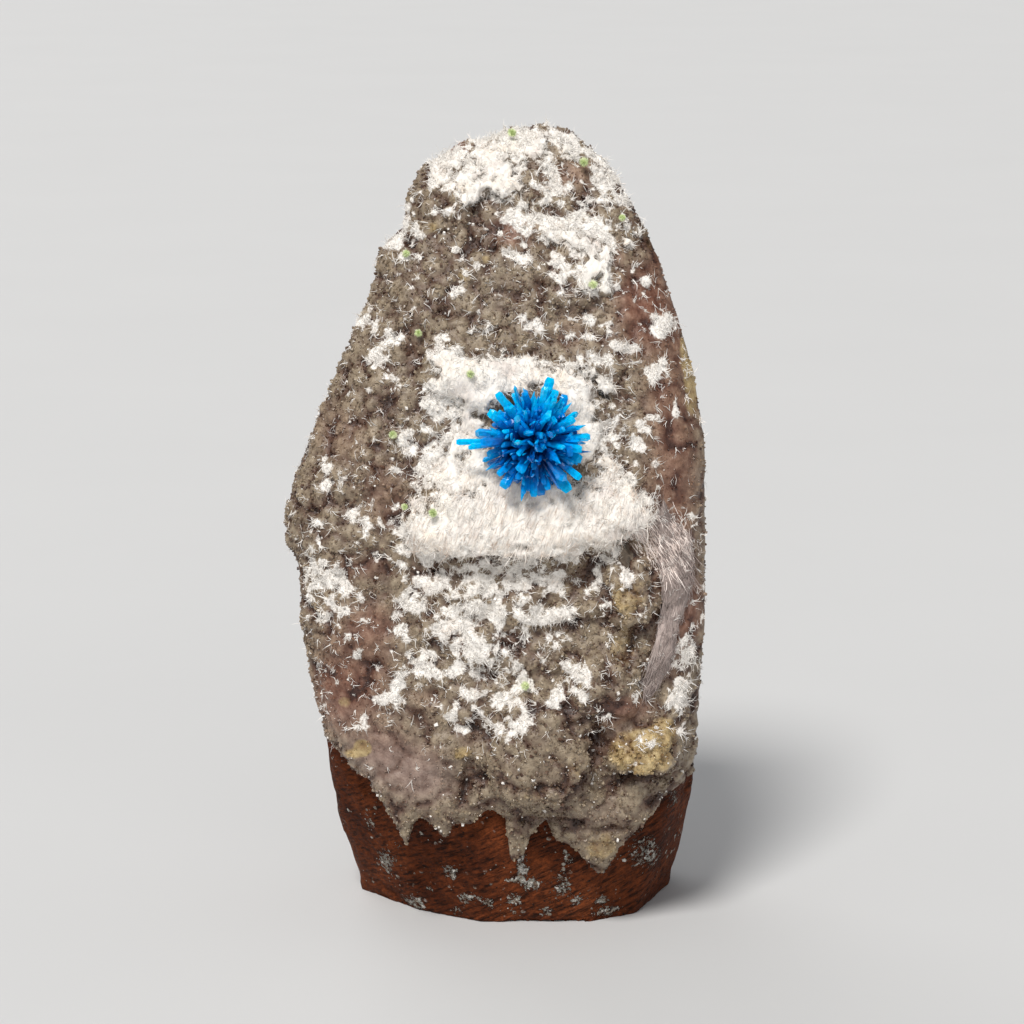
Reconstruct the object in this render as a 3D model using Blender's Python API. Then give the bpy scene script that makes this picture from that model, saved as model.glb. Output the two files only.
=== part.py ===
"""Pentagonite on matrix: a blue spray of crystals on a drusy crust, on a slab of brown basalt.

The slab stands on its sawn foot. +Z is up, +X is right and the crystals face -Y. Lengths here are in
millimetres, and MM turns them into metres where a mesh is made.
"""

import math

import bmesh
import bpy
import numpy as np
from mathutils import Matrix, Vector, noise
from mathutils.geometry import delaunay_2d_cdt

MM = 0.001
GAP = 0.3  # clearance between pieces that touch

# Outline of the whole specimen seen from the front, as (x, z), clockwise from the foot's left corner
FOOT_Z = -0.9  # height of the underside, before the specimen is set down on it
OUTLINE = (
    (-15.5, FOOT_Z), (-17.1, 5.0), (-18.2, 10.5), (-19.0, 19.0), (-19.6, 24.5), (-20.5, 29.0),
    (-21.2, 35.0), (-21.7, 40.6), (-22.8, 42.6), (-22.9, 46.5), (-21.6, 50.5), (-18.9, 57.0),
    (-16.3, 63.5), (-15.4, 66.0), (-13.9, 68.5), (-12.6, 74.0), (-10.0, 76.2), (-9.5, 80.5),
    (-7.6, 83.2), (-3.5, 85.2), (0.5, 86.4), (4.5, 87.2), (8.2, 86.6), (9.6, 85.2), (11.7, 83.3),
    (14.7, 79.0), (17.0, 74.5), (19.3, 67.7), (21.2, 61.0), (22.3, 54.5), (22.5, 48.0),
    (22.6, 36.0), (22.1, 25.0), (22.0, 16.0), (22.0, 11.0), (21.1, 5.0), (19.4, FOOT_Z),
)
# Lower edge of the crust, from the right side to the left, with the teeth that hang over the foot
CRUST_FOOT = (
    (21.7, 16.7), (20.2, 16.0), (18.6, 15.1), (17.1, 13.4), (14.9, 10.8), (13.2, 9.2), (12.4, 6.8),
    (11.1, 6.0), (9.9, 7.3), (8.7, 9.2), (6.3, 10.3), (5.3, 12.9), (3.7, 10.9), (3.0, 8.2), (1.4, 7.4),
    (1.2, 10.4), (0.7, 13.2), (-0.7, 14.1), (-2.0, 13.1), (-2.6, 12.0), (-4.5, 12.2), (-5.6, 10.3),
    (-7.4, 12.4), (-8.4, 13.1), (-9.3, 12.1), (-9.9, 9.5), (-10.8, 11.7), (-11.4, 12.6),
    (-13.1, 15.4), (-14.5, 17.3), (-16.5, 18.7), (-18.8, 21.2),
)
# Side view of the slab, as (z, y): its front under the crust and its back
FRONT_PROFILE = (
    (-2.0, -11.8), (5.0, -14.6), (10.0, -16.2), (20.0, -17.1), (35.0, -17.2), (50.0, -16.4), (65.0, -13.4),
    (78.0, -9.0), (85.0, -5.6), (90.0, -3.2),
)
BACK_PROFILE = (
    (-2.0, 11.4), (20.0, 12.6), (45.0, 11.8), (65.0, 8.6), (80.0, 3.4), (90.0, -0.6),
)
EDGE_ROUND = 8.5  # width of the band in which the faces fall back towards the slab's edge
EDGE_FALL = 0.36  # how far they fall there, as a share of half the slab's thickness
EDGE_WANDER = 0.55  # how much that share changes along the edge
FOOT_TOP = 20.0  # height up to which the foot's sides are bare basalt
CRUST_EDGE = 1.2  # how far the crust stands out past the basalt around its edge
ROCK_STEP = 3.4  # spacing of the points on the basalt
ROCK_ROUGHNESS = 0.55
SIDE_ROWS = 5

# Flat faces where the basalt was sawn or broke, as (name, point on the face, outward normal)
FACETS = (
    ("foot left", (-12.9, -3.7, FOOT_Z), (-0.666, -0.623, -0.409)),
    ("foot left front", (-6.8, -9.4, FOOT_Z), (-0.468, -0.820, -0.330)),
    ("foot left back", (-15.0, 5.0, FOOT_Z), (-0.900, 0.330, -0.285)),
    ("foot right", (17.2, -5.2, FOOT_Z), (0.880, -0.360, -0.310)),
    ("foot right front", (13.4, -10.4, FOOT_Z), (0.468, -0.833, -0.287)),
    ("foot right back", (18.8, 5.0, FOOT_Z), (0.900, 0.340, -0.272)),
    ("foot back", (2.0, 9.8, 0.0), (0.080, 0.965, -0.250)),
    ("back left", (-13.0, 9.0, 42.0), (-0.560, 0.800, 0.210)),
    ("back right", (14.5, 9.0, 50.0), (0.500, 0.840, 0.210)),
    ("back top", (2.0, 8.2, 68.0), (-0.080, 0.840, 0.536)),
    ("back low", (-3.0, 12.8, 22.0), (-0.100, 0.990, -0.100)),
    ("shoulder left", (-15.8, 3.0, 65.0), (-0.800, 0.430, 0.420)),
    ("shoulder right", (17.6, 2.2, 72.0), (0.780, 0.470, 0.414)),
    ("underside", (0.0, 0.0, FOOT_Z), (0.0, 0.0, -1.0)),
)

CRUST_THICKNESS = 1.7
CRUST_EDGE_THICKNESS = 0.9
CRUST_EDGE_BAND = 2.6  # width of the band in which the crust thins to its edge
CRUST_STEP = 1.5
CRUST_UNDERSIDE_STEP = 3.6
CRUST_CLEARANCE = 0.42  # behind the crust, whose inner side is a coarser mesh than the basalt's front
DRUSE_RELIEF = 0.5
DRUSE_WAVELENGTH = 3.6
# Knobs of the crust, as (x, z, half width, half height, how far it stands out, how sheer its lower side is)
KNOBS = (
    (4.6, 20.4, 6.0, 6.4, 3.7, 0.85),
    (11.2, 27.6, 4.4, 3.9, 2.7, 0.70),
    (14.2, 38.6, 3.3, 5.0, 2.2, 0.60),
    (16.3, 20.4, 4.1, 2.9, 2.6, 0.80),
    (8.6, 15.4, 2.6, 2.3, 1.4, 0.70),
    (2.4, 46.6, 13.0, 5.4, 2.3, 0.75),
    (13.6, 48.0, 3.4, 4.2, 1.6, 0.40),
    (-3.0, 38.6, 2.6, 2.2, 1.2, 0.60),
    (-6.4, 34.6, 2.6, 2.3, 1.2, 0.60),
    (2.6, 37.8, 2.9, 2.4, 1.3, 0.60),
    (8.2, 36.8, 2.6, 2.3, 1.2, 0.60),
    (-2.0, 32.4, 2.9, 2.5, 1.3, 0.60),
    (4.4, 31.0, 2.8, 2.2, 1.1, 0.60),
    (-3.6, 26.2, 2.7, 2.4, 1.1, 0.60),
    (-5.0, 20.8, 2.5, 2.4, 1.1, 0.50),
    (3.6, 56.6, 5.6, 5.4, 1.4, 0.20),
    (-6.0, 62.6, 3.4, 3.0, 1.0, 0.40),
    (-1.6, 60.6, 3.0, 2.6, 0.9, 0.40),
    (-8.6, 69.0, 3.2, 2.8, 1.0, 0.50),
    (-5.2, 79.6, 3.6, 2.8, 1.2, 0.50),
    (1.6, 81.8, 4.4, 2.8, 1.1, 0.40),
    (6.8, 71.0, 4.8, 3.2, 0.9, 0.40),
    (11.0, 63.0, 3.2, 2.8, 0.9, 0.40),
    (-15.4, 51.6, 3.2, 3.0, 0.9, 0.40),
    (-17.2, 42.6, 3.0, 3.2, 0.8, 0.40),
    (-16.4, 34.0, 2.8, 3.2, 0.8, 0.40),
)

# Mats of white fibre: outline as (x, z), and thickness at the middle
MATS = {
    "mordenite_top": (
        ((-7.6, 82.2), (-4.8, 77.4), (-1.0, 75.2), (3.6, 76.4), (5.0, 80.4), (9.4, 81.6),
         (8.0, 85.6), (4.4, 86.2), (0.4, 85.4), (-3.8, 84.2)),
        0.9,
    ),
    "mordenite_bed": (
        ((-9.8, 42.4), (-4.0, 40.6), (3.4, 41.2), (9.6, 42.4), (15.4, 43.0), (16.6, 47.0),
         (14.0, 50.8), (10.6, 54.4), (12.6, 60.2), (9.4, 63.8), (4.0, 63.2), (-1.0, 67.4),
         (-7.0, 65.4), (-8.4, 61.2), (-3.2, 58.2), (-5.0, 53.4), (-9.2, 49.2)),
        1.3,
    ),
    "mordenite_band": (
        ((17.7, 48.6), (19.4, 45.6), (21.0, 44.0), (21.2, 39.2), (19.8, 35.2), (18.6, 29.8),
         (16.2, 26.4), (15.6, 28.4), (17.0, 33.0), (17.8, 37.4), (17.6, 41.4), (17.2, 44.6)),
        1.0,
    ),
    "mordenite_veil": (
        ((4.8, 76.6), (9.0, 76.4), (14.6, 77.6), (16.4, 73.6), (14.2, 69.4), (10.6, 67.0),
         (9.0, 69.4), (8.4, 72.0)),
        0.8,
    ),
}
MAT_EDGE_THICKNESS = 0.35
MAT_EDGE_BAND = 3.0

# The blue crystal group: where its middle lies on the front, and how far it stands off what carries it
CLUSTER_X = 3.8
CLUSTER_Z = 55.8
CLUSTER_LIFT = 2.0
CORE_RADIUS = 3.4
ROOT = 2.5  # how far from the middle the crystals start, inside the core
# Long crystals at the rim, as (angle in the front view from +X, tilt towards the front, length from the
# middle, width, thickness, True where the tip is a point)
RIM_CRYSTALS = (
    (75, 12, 7.3, 1.00, 0.70, False),
    (67, 20, 6.6, 0.80, 0.60, False),
    (57, 14, 5.8, 0.60, 0.45, True),
    (46, 10, 5.9, 0.45, 0.35, True),
    (32, 24, 5.6, 0.80, 0.60, False),
    (19, 16, 6.1, 0.50, 0.35, True),
    (6, 14, 6.2, 0.80, 0.65, False),
    (354, 26, 5.7, 0.85, 0.65, False),
    (340, 14, 5.6, 1.05, 0.80, False),
    (323, 16, 6.5, 0.80, 0.60, False),
    (307, 20, 6.7, 1.15, 0.90, False),
    (288, 16, 5.5, 0.70, 0.50, False),
    (271, 18, 6.0, 0.80, 0.60, False),
    (259, 12, 6.5, 0.65, 0.45, True),
    (236, 18, 6.0, 1.10, 0.85, False),
    (222, 24, 5.4, 0.70, 0.50, False),
    (212, 8, 5.9, 0.45, 0.35, True),
    (196, 12, 5.1, 0.80, 0.60, False),
    (180, 8, 8.1, 0.65, 0.50, False),
    (166, 18, 5.4, 0.70, 0.50, True),
    (145, 12, 5.8, 1.00, 0.75, False),
    (125, 14, 6.7, 0.85, 0.60, False),
    (111, 22, 5.2, 0.60, 0.45, True),
    (100, 10, 5.9, 0.42, 0.32, True),
    (87, 22, 5.4, 0.70, 0.50, True),
)
# Rows of crystals that face the viewer, as (tilt towards the front, how many, length, width, thickness)
FACING_ROWS = (
    (38, 13, 5.3, 0.85, 0.62),
    (58, 9, 5.2, 0.90, 0.68),
    (77, 5, 5.0, 0.95, 0.72),
)
CHISEL = 0.42  # height of a blunt tip, as a share of the crystal's width
POINT = 2.4  # height of a pointed tip, in the same way

# Tiny green balls, as (x, z, radius)
SPHERULES = (
    (2.3, 85.4, 0.60), (8.6, 82.6, 0.62), (13.0, 78.0, 0.45), (9.8, 71.4, 0.60), (-9.8, 73.0, 0.50),
    (-7.6, 66.0, 0.50), (-3.0, 61.6, 0.55), (-10.6, 54.8, 0.55), (-9.0, 48.4, 0.45),
    (-6.3, 47.3, 0.60), (2.6, 28.4, 0.60),
)


def along(stations, value):
    """Smooth curve through (position, height) stations, read at value, an array."""
    position, height = np.array(stations, float).T
    slope = np.gradient(height, position)
    value = np.clip(np.asarray(value, float), position[0], position[-1])
    i = np.clip(np.searchsorted(position, value) - 1, 0, len(position) - 2)
    step = position[i + 1] - position[i]
    t = (value - position[i]) / step
    return (
        height[i] * (1 + 2 * t) * (1 - t) ** 2
        + slope[i] * step * t * (1 - t) ** 2
        + height[i + 1] * t * t * (3 - 2 * t)
        - slope[i + 1] * step * t * t * (1 - t)
    )


def resample(points, spacing, closed=True):
    """The polyline's corners with more points between them, about spacing apart."""
    found = []
    count = len(points) if closed else len(points) - 1
    for i in range(count):
        start = np.array(points[i], float)
        end = np.array(points[(i + 1) % len(points)], float)
        parts = max(1, round(float(np.linalg.norm(end - start)) / spacing))
        found += [start + (end - start) * k / parts for k in range(parts)]
    if not closed:
        found.append(np.array(points[-1], float))
    return np.array(found)


def distance_to(points, line, closed=True):
    """Distance from each point to the nearest stretch of the line."""
    starts = np.array(line if closed else line[:-1], float)
    ends = np.array((line[1:] + line[:1]) if closed else line[1:], float)
    best = np.full(len(points), 1e9)
    for start, end in zip(starts, ends):
        way = end - start
        t = np.clip((points - start) @ way / (way @ way), 0, 1)
        best = np.minimum(best, np.linalg.norm(points - start - t[:, None] * way, axis=1))
    return best


def inside(points, outline):
    """Which of the points lie inside the closed outline."""
    corners = np.array(outline, float)
    hit = np.zeros(len(points), bool)
    for a, b in zip(corners, np.roll(corners, -1, axis=0)):
        crosses = (a[1] > points[:, 1]) != (b[1] > points[:, 1])
        rise = b[1] - a[1] if b[1] != a[1] else 1e-12
        hit ^= crosses & (points[:, 0] < a[0] + (points[:, 1] - a[1]) * (b[0] - a[0]) / rise)
    return hit


def filled(outline, spacing, margin, seams=()):
    """Triangles that fill a closed outline, with edges along each seam: points as (x, z), and faces."""
    low, high = outline.min(0), outline.max(0)
    rise = spacing * math.sqrt(3) / 2
    lattice = np.array([
        (low[0] + spacing * (i + 0.5 * (j % 2)), low[1] + rise * j)
        for j in range(int((high[1] - low[1]) / rise) + 1)
        for i in range(int((high[0] - low[0]) / spacing) + 1)
    ])
    edge = [tuple(p) for p in outline]
    lattice = lattice[inside(lattice, edge)]
    lattice = lattice[distance_to(lattice, edge) > margin]
    for seam in seams:
        lattice = lattice[distance_to(lattice, [tuple(p) for p in seam]) > margin]
    points = [Vector(p) for p in outline]
    edges = []
    for seam in seams:
        first, count = len(points), len(seam)
        points += [Vector(p) for p in seam]
        edges += [(first + i, first + (i + 1) % count) for i in range(count)]
    points += [Vector(p) for p in lattice]
    loop = [list(range(len(outline)))]
    made, _, faces, *_ = delaunay_2d_cdt(points, edges, loop, 1, 1e-6)
    return np.array([tuple(p) for p in made]), [tuple(f) for f in faces]


def fall_back(points):
    """How far the faces have fallen back at each (x, z), from 0 in the middle to EDGE_FALL at the edge."""
    sides = distance_to(points, OUTLINE, closed=False)
    wander = np.array([noise.noise(Vector((math.copysign(9.0, x), 0.4, z / 7.0))) for x, z in points])
    share = EDGE_FALL * (1 + EDGE_WANDER * wander)
    return share * (1 - np.clip(sides / EDGE_ROUND, 0, 1)) ** 2


def slab(points, side):
    """Depth y of the slab's face at each (x, z). The side is -1 for the front and 1 for the back."""
    front = along(FRONT_PROFILE, points[:, 1])
    back = along(BACK_PROFILE, points[:, 1])
    half = (back - front) / 2
    return (front + back) / 2 + side * half * (1 - fall_back(points))


def slab_front(points):
    return slab(points, -1)


def rock_front(points):
    """Depth y of the basalt's front at each (x, z), with the flat faces that cut it at the foot."""
    front = slab_front(points)
    for _, (x, y, z), (across, deep, up) in FACETS:
        if deep < 0:
            cut = y - (across * (points[:, 0] - x) + up * (points[:, 1] - z)) / deep
            front = np.maximum(front, cut)
    return front


def clear_of(front, points, distance):
    """Depth y at each (x, z) of the surface that stands off this front by this distance."""
    step = 0.1
    depth = front(points)
    across = (front(points + np.array([step, 0])) - depth) / step
    up = (front(points + np.array([0, step])) - depth) / step
    return depth - distance * np.sqrt(1 + across**2 + up**2)


def druse(points):
    """Relief of the crust between its knobs."""
    return np.array([
        DRUSE_RELIEF * noise.noise(Vector((x / DRUSE_WAVELENGTH, 3.1, z / DRUSE_WAVELENGTH)))
        for x, z in points
    ])


def knob_height(points):
    """How far the knobs stand out: each is a dome whose lower side is more sheer than its upper side."""
    stands_out = np.zeros(len(points))
    for x, z, half_width, half_height, height, sheer in KNOBS:
        across = (points[:, 0] - x) / half_width
        up = (points[:, 1] - z) / half_height
        up = np.where(up < 0, up, up * (1 - 0.25 * sheer))
        radius = np.sqrt(across**2 + up**2)
        power = np.where(up < 0, 2.0 + 4.0 * sheer, 2.0 + 1.5 * sheer)
        dome = np.clip(1 - radius**power, 0, 1) ** 0.8
        stands_out = np.maximum(stands_out, 0) + height * dome * (1 - 0.5 * (stands_out > height))
    return stands_out


def crust_front(points, edge_line):
    """Depth y of the crust's outer side at each (x, z)."""
    inwards = np.clip(distance_to(points, edge_line) / CRUST_EDGE_BAND, 0, 1)
    share = 1 - (1 - inwards) ** 2
    thickness = CRUST_EDGE_THICKNESS + (CRUST_THICKNESS - CRUST_EDGE_THICKNESS) * share
    stands_out = share * (knob_height(points) + druse(points))
    return clear_of(slab_front, points, CRUST_CLEARANCE + thickness) - stands_out


def plate(name, near, far, faces):
    """Closed solid between two layers of points that share the same faces, the near one in front."""
    count = len(near)
    sheet = bmesh.new()
    verts = [sheet.verts.new(Vector(p) * MM) for p in [*near, *far]]
    used = set()
    for face in faces:
        sheet.faces.new([verts[i] for i in face])
        sheet.faces.new([verts[i + count] for i in reversed(face)])
        used.update((face[i], face[(i + 1) % len(face)]) for i in range(len(face)))
    for a, b in sorted(used):
        if (b, a) not in used:
            sheet.faces.new((verts[b], verts[a], verts[a + count], verts[b + count]))
    loose = [v for v in sheet.verts if not v.link_faces]
    bmesh.ops.delete(sheet, geom=loose, context="VERTS")
    return finish(name, sheet)


def finish(name, shape):
    """An object of this name from the bmesh, in triangles, with its faces pointing out."""
    bmesh.ops.triangulate(shape, faces=shape.faces)
    bmesh.ops.recalc_face_normals(shape, faces=shape.faces)
    mesh = bpy.data.meshes.new(name)
    shape.to_mesh(mesh)
    shape.free()
    obj = bpy.data.objects.new(name, mesh)
    bpy.context.scene.collection.objects.link(obj)
    return obj


def material(name, colour, roughness, transmission=0.0):
    made = bpy.data.materials.new(name)
    made.use_nodes = True
    shader = made.node_tree.nodes["Principled BSDF"]
    shader.inputs["Base Color"].default_value = (*colour, 1.0)
    shader.inputs["Roughness"].default_value = roughness
    shader.inputs["Metallic"].default_value = 0.0
    shader.inputs["Transmission Weight"].default_value = transmission
    return made


def rock_outline():
    """The basalt's outline: the specimen's own at the foot, and a little inside it under the crust."""
    corners = np.array([(x, z if z > FOOT_Z else z - 1.0) for x, z in OUTLINE])
    ahead, behind = np.roll(corners, -1, axis=0), np.roll(corners, 1, axis=0)
    way = ahead - behind
    normal = np.stack([way[:, 1], -way[:, 0]], axis=1) / np.linalg.norm(way, axis=1)[:, None]
    rise = np.clip((corners[:, 1] - FOOT_TOP) / 4.0, 0, 1)
    return resample([tuple(p) for p in corners + normal * CRUST_EDGE * rise[:, None]], ROCK_STEP)


def push_at(point, wavelength):
    """A smooth push that differs from direction to direction."""
    at = Vector(point) / wavelength
    return Vector([noise.noise(at + Vector((31.7 * k, 0, 0))) for k in range(3)])


def roughened(points):
    """Points pushed about as broken basalt is. The front under the crust stays smooth."""
    moved = []
    fronts = slab(np.array([(p[0], p[2]) for p in points]), -1)
    for p, front in zip(points, fronts):
        share = min(1.0, max(0.0, (p[1] - front - 0.5) / 5.0), max(0.15, p[2] / FOOT_TOP))
        push = (push_at(p, 8.0) * 3.0 + push_at(p, 2.9)) * ROCK_ROUGHNESS
        push *= Vector((0.5, 1.0, 0.5))
        moved.append(Vector(p) + push * share)
    return moved


def basalt():
    """The slab: a front, a back and the sides between them, cut flat where it was sawn or broke."""
    outline = rock_outline()
    points, faces = filled(outline, ROCK_STEP, 0.55 * ROCK_STEP)
    count, rim = len(points), len(outline)
    front = np.stack([points[:, 0], slab(points, -1), points[:, 1]], axis=1)
    back = np.stack([points[:, 0], slab(points, 1), points[:, 1]], axis=1)
    rows = [
        front[:rim] * (1 - k / SIDE_ROWS) + back[:rim] * (k / SIDE_ROWS) for k in range(1, SIDE_ROWS)
    ]
    rock = bmesh.new()
    verts = [rock.verts.new(p * MM) for p in roughened([*front, *back, *(p for row in rows for p in row)])]
    for face in faces:
        rock.faces.new([verts[i] for i in face])
        rock.faces.new([verts[i + count] for i in reversed(face)])
    rings = [verts[:rim]]
    rings += [verts[2 * count + k * rim : 2 * count + (k + 1) * rim] for k in range(SIDE_ROWS - 1)]
    rings += [verts[count : count + rim]]
    for near, far in zip(rings, rings[1:]):
        for i in range(rim):
            j = (i + 1) % rim
            rock.faces.new((near[i], near[j], far[j], far[i]))
    bmesh.ops.recalc_face_normals(rock, faces=rock.faces)
    for _, point, normal in FACETS:
        whole = [*rock.verts, *rock.edges, *rock.faces]
        cut = bmesh.ops.bisect_plane(
            rock, geom=whole, dist=1e-7, plane_co=Vector(point) * MM, plane_no=normal, clear_outer=True
        )
        edges = [e for e in cut["geom_cut"] if isinstance(e, bmesh.types.BMEdge)]
        bmesh.ops.edgeloop_fill(rock, edges=edges)
    bmesh.ops.dissolve_degenerate(rock, dist=0.02 * MM, edges=rock.edges)
    return finish("basalt_matrix", rock)


def crust_outline():
    sides = [p for p in OUTLINE if p[1] > 21.5 or (p[0] > 0 and p[1] > 17.0)]
    return resample([*sides, *CRUST_FOOT], CRUST_STEP)


def crust_parts():
    """The points as (x, z), the faces and the outer depth of the crust, which the mats share."""
    outline = crust_outline()
    seams = [resample(edge, CRUST_STEP) for edge, _ in MATS.values()]
    points, faces = filled(outline, CRUST_STEP, 0.55 * CRUST_STEP, seams)
    return outline, points, faces, crust_front(points, [tuple(p) for p in outline])


def crust_back(points, faces):
    """Depth y of the crust's inner side, moved forward where a face would dip into the basalt."""
    depth = clear_of(rock_front, points, CRUST_CLEARANCE)
    corners = np.array(faces)
    shares = np.array([(i, j, 6 - i - j) for i in range(7) for j in range(7 - i)]) / 6
    spots = np.einsum("sc,fcx->fsx", shares, points[corners])
    limit = rock_front(spots.reshape(-1, 2)).reshape(spots.shape[:2]) - CRUST_CLEARANCE
    dips = np.clip(depth[corners] @ shares.T - limit, 0, None).max(axis=1)
    forward = np.zeros(len(points))
    np.maximum.at(forward, corners, np.repeat(dips[:, None], 3, axis=1))
    return depth - forward


def crust(outline, points, faces, depth):
    """The druse: an outer side with knobs, an inner side that lies on the basalt, and the edge between."""
    inner, inner_faces = filled(outline, CRUST_UNDERSIDE_STEP, 0.55 * CRUST_UNDERSIDE_STEP)
    rim, count = len(outline), len(points)
    near = np.stack([points[:, 0], depth, points[:, 1]], axis=1)
    far = np.stack([inner[:, 0], crust_back(inner, inner_faces), inner[:, 1]], axis=1)
    shell = bmesh.new()
    verts = [shell.verts.new(Vector(p) * MM) for p in [*near, *far]]
    for face in faces:
        shell.faces.new([verts[i] for i in face])
    for face in inner_faces:
        shell.faces.new([verts[i + count] for i in reversed(face)])
    for i in range(rim):
        j = (i + 1) % rim
        shell.faces.new((verts[i], verts[j], verts[j + count], verts[i + count]))
    return finish("druse_crust", shell)


def mat_faces(points, faces, outline):
    middles = np.array([points[list(face)].mean(axis=0) for face in faces])
    return [face for face, hit in zip(faces, inside(middles, outline)) if hit]


def mat_depth(points, depth, outline, thickness):
    """Depth y of a mat's outer side: it lies on the crust and thins to its edge."""
    inwards = np.clip(distance_to(points, list(outline)) / MAT_EDGE_BAND, 0, 1)
    return depth - GAP - MAT_EDGE_THICKNESS - (thickness - MAT_EDGE_THICKNESS) * inwards


def mat(name, points, depth, faces, outline, thickness):
    chosen = mat_faces(points, faces, outline)
    outer = mat_depth(points, depth, outline, thickness)
    near = np.stack([points[:, 0], outer, points[:, 1]], axis=1)
    far = np.stack([points[:, 0], depth - GAP, points[:, 1]], axis=1)
    return plate(name, near, far, chosen)


def add_crystal(shape, middle, angle, tilt, length, width, thickness, pointed, roll):
    """One crystal of the spray: a flat blade with a chisel tip or a point, from the middle outwards."""
    a, t = math.radians(angle), math.radians(tilt)
    way = Vector((math.cos(a) * math.cos(t), -math.sin(t), math.sin(a) * math.cos(t)))
    across = way.cross(Vector((0, -1, 0.02))).normalized()
    across.rotate(Matrix.Rotation(math.radians(roll), 3, way))
    up = way.cross(across)
    tip = min(width * (POINT if pointed else CHISEL), 0.4 * length)
    shoulder = length - tip
    ring = ((-0.5, -0.5), (0.5, -0.5), (0.5, 0.5), (-0.5, 0.5))
    foot = [
        shape.verts.new((middle + way * ROOT + across * i * width * 0.7 + up * j * thickness * 0.7) * MM)
        for i, j in ring
    ]
    head = [
        shape.verts.new((middle + way * shoulder + across * i * width + up * j * thickness) * MM)
        for i, j in ring
    ]
    half = 0.06 if pointed else 0.30
    ridge = [
        shape.verts.new((middle + way * length + across * i * width) * MM) for i in (-half, half)
    ]
    shape.faces.new(foot[::-1])
    for i in range(4):
        j = (i + 1) % 4
        shape.faces.new((foot[i], foot[j], head[j], head[i]))
    shape.faces.new((head[0], head[1], ridge[1], ridge[0]))
    shape.faces.new((head[2], head[3], ridge[0], ridge[1]))
    shape.faces.new((head[1], head[2], ridge[1]))
    shape.faces.new((head[3], head[0], ridge[0]))


def spray(middle):
    """All the crystals in one mesh, still overlapping."""
    shape = bmesh.new()
    for i, crystal in enumerate(RIM_CRYSTALS):
        add_crystal(shape, middle, *crystal, roll=(i * 37) % 60 - 30)
    turn = 0.0
    for tilt, count, length, width, thickness in FACING_ROWS:
        turn += 17.0
        for i in range(count):
            wave = math.sin(i * 2.4 + tilt)
            add_crystal(
                shape, middle, turn + 360 / count * i + 9 * wave, tilt + 5 * wave,
                length * (1 + 0.12 * wave), width * (1 - 0.2 * wave), thickness, i % 3 == 1, roll=50 * wave,
            )
    return finish("crystals", shape)


def as_tool(obj):
    """Marks an object that only cuts or joins."""
    obj.hide_render = True
    obj.display_type = "WIRE"


def combine(obj, other, operation):
    made = obj.modifiers.new(operation.title(), "BOOLEAN")
    made.operation = operation
    made.solver = "EXACT"
    made.use_self = True
    made.object = other
    as_tool(other)


def cluster(points, depth, faces):
    """The blue group: a core and its crystals in one solid, cut to sit on the mat below it."""
    near = np.array([(CLUSTER_X, CLUSTER_Z)])
    closest = int(np.argmin(np.linalg.norm(points - near, axis=1)))
    middle = Vector((CLUSTER_X, depth[closest] - CLUSTER_LIFT, CLUSTER_Z))
    ball = bmesh.new()
    bmesh.ops.create_icosphere(ball, subdivisions=2, radius=CORE_RADIUS * MM)
    bmesh.ops.translate(ball, verts=ball.verts, vec=middle * MM)
    group = finish("pentagonite_cluster", ball)
    combine(group, spray(middle), "UNION")
    reach = 11.0
    under = [f for f in faces if np.linalg.norm(points[list(f)].mean(axis=0) - near) < reach]
    top = np.stack([points[:, 0], depth - GAP, points[:, 1]], axis=1)
    deep = top + np.array([0.0, 9.0, 0.0])
    combine(group, plate("seat", top, deep, under), "DIFFERENCE")
    return group


def spherule(number, x, z, radius, points, depth, normals):
    """A tiny ball of green crystals, whose points stand out a little, resting on what carries it."""
    closest = int(np.argmin(np.linalg.norm(points - np.array([(x, z)]), axis=1)))
    seat = Vector((points[closest, 0], depth[closest], points[closest, 1]))
    ball = bmesh.new()
    bmesh.ops.create_icosphere(ball, subdivisions=2, radius=radius * MM)
    for i, vert in enumerate(ball.verts):
        vert.co *= 1.0 if i % 2 else 0.78
    bmesh.ops.translate(ball, verts=ball.verts, vec=(seat + normals[closest] * (GAP + radius)) * MM)
    return finish(f"green_spherule_{number:02d}", ball)


def outward(points, depth, faces):
    """The outward direction of the surface at each of its points."""
    corners = np.stack([points[:, 0], depth, points[:, 1]], axis=1)
    total = [Vector((0, 0, 0)) for _ in points]
    for face in faces:
        a, b, c = (Vector(corners[i]) for i in face[:3])
        normal = (b - a).cross(c - a)
        for i in face:
            total[i] += normal if normal.y < 0 else -normal
    return [t.normalized() for t in total]


def centred(objects):
    """Sets the specimen down with the middle of its box over the origin. An empty carries the pieces."""
    graph = bpy.context.evaluated_depsgraph_get()
    corners = np.array([
        tuple(obj.matrix_world @ Vector(c)) for obj in objects for c in obj.evaluated_get(graph).bound_box
    ])
    middle = (corners.min(0) + corners.max(0)) / 2
    carrier = bpy.data.objects.new("specimen", None)
    bpy.context.scene.collection.objects.link(carrier)
    carrier.location = (-middle[0], -middle[1], -corners.min(0)[2])
    for obj in bpy.data.objects:
        if obj is not carrier:
            obj.parent = carrier


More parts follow.
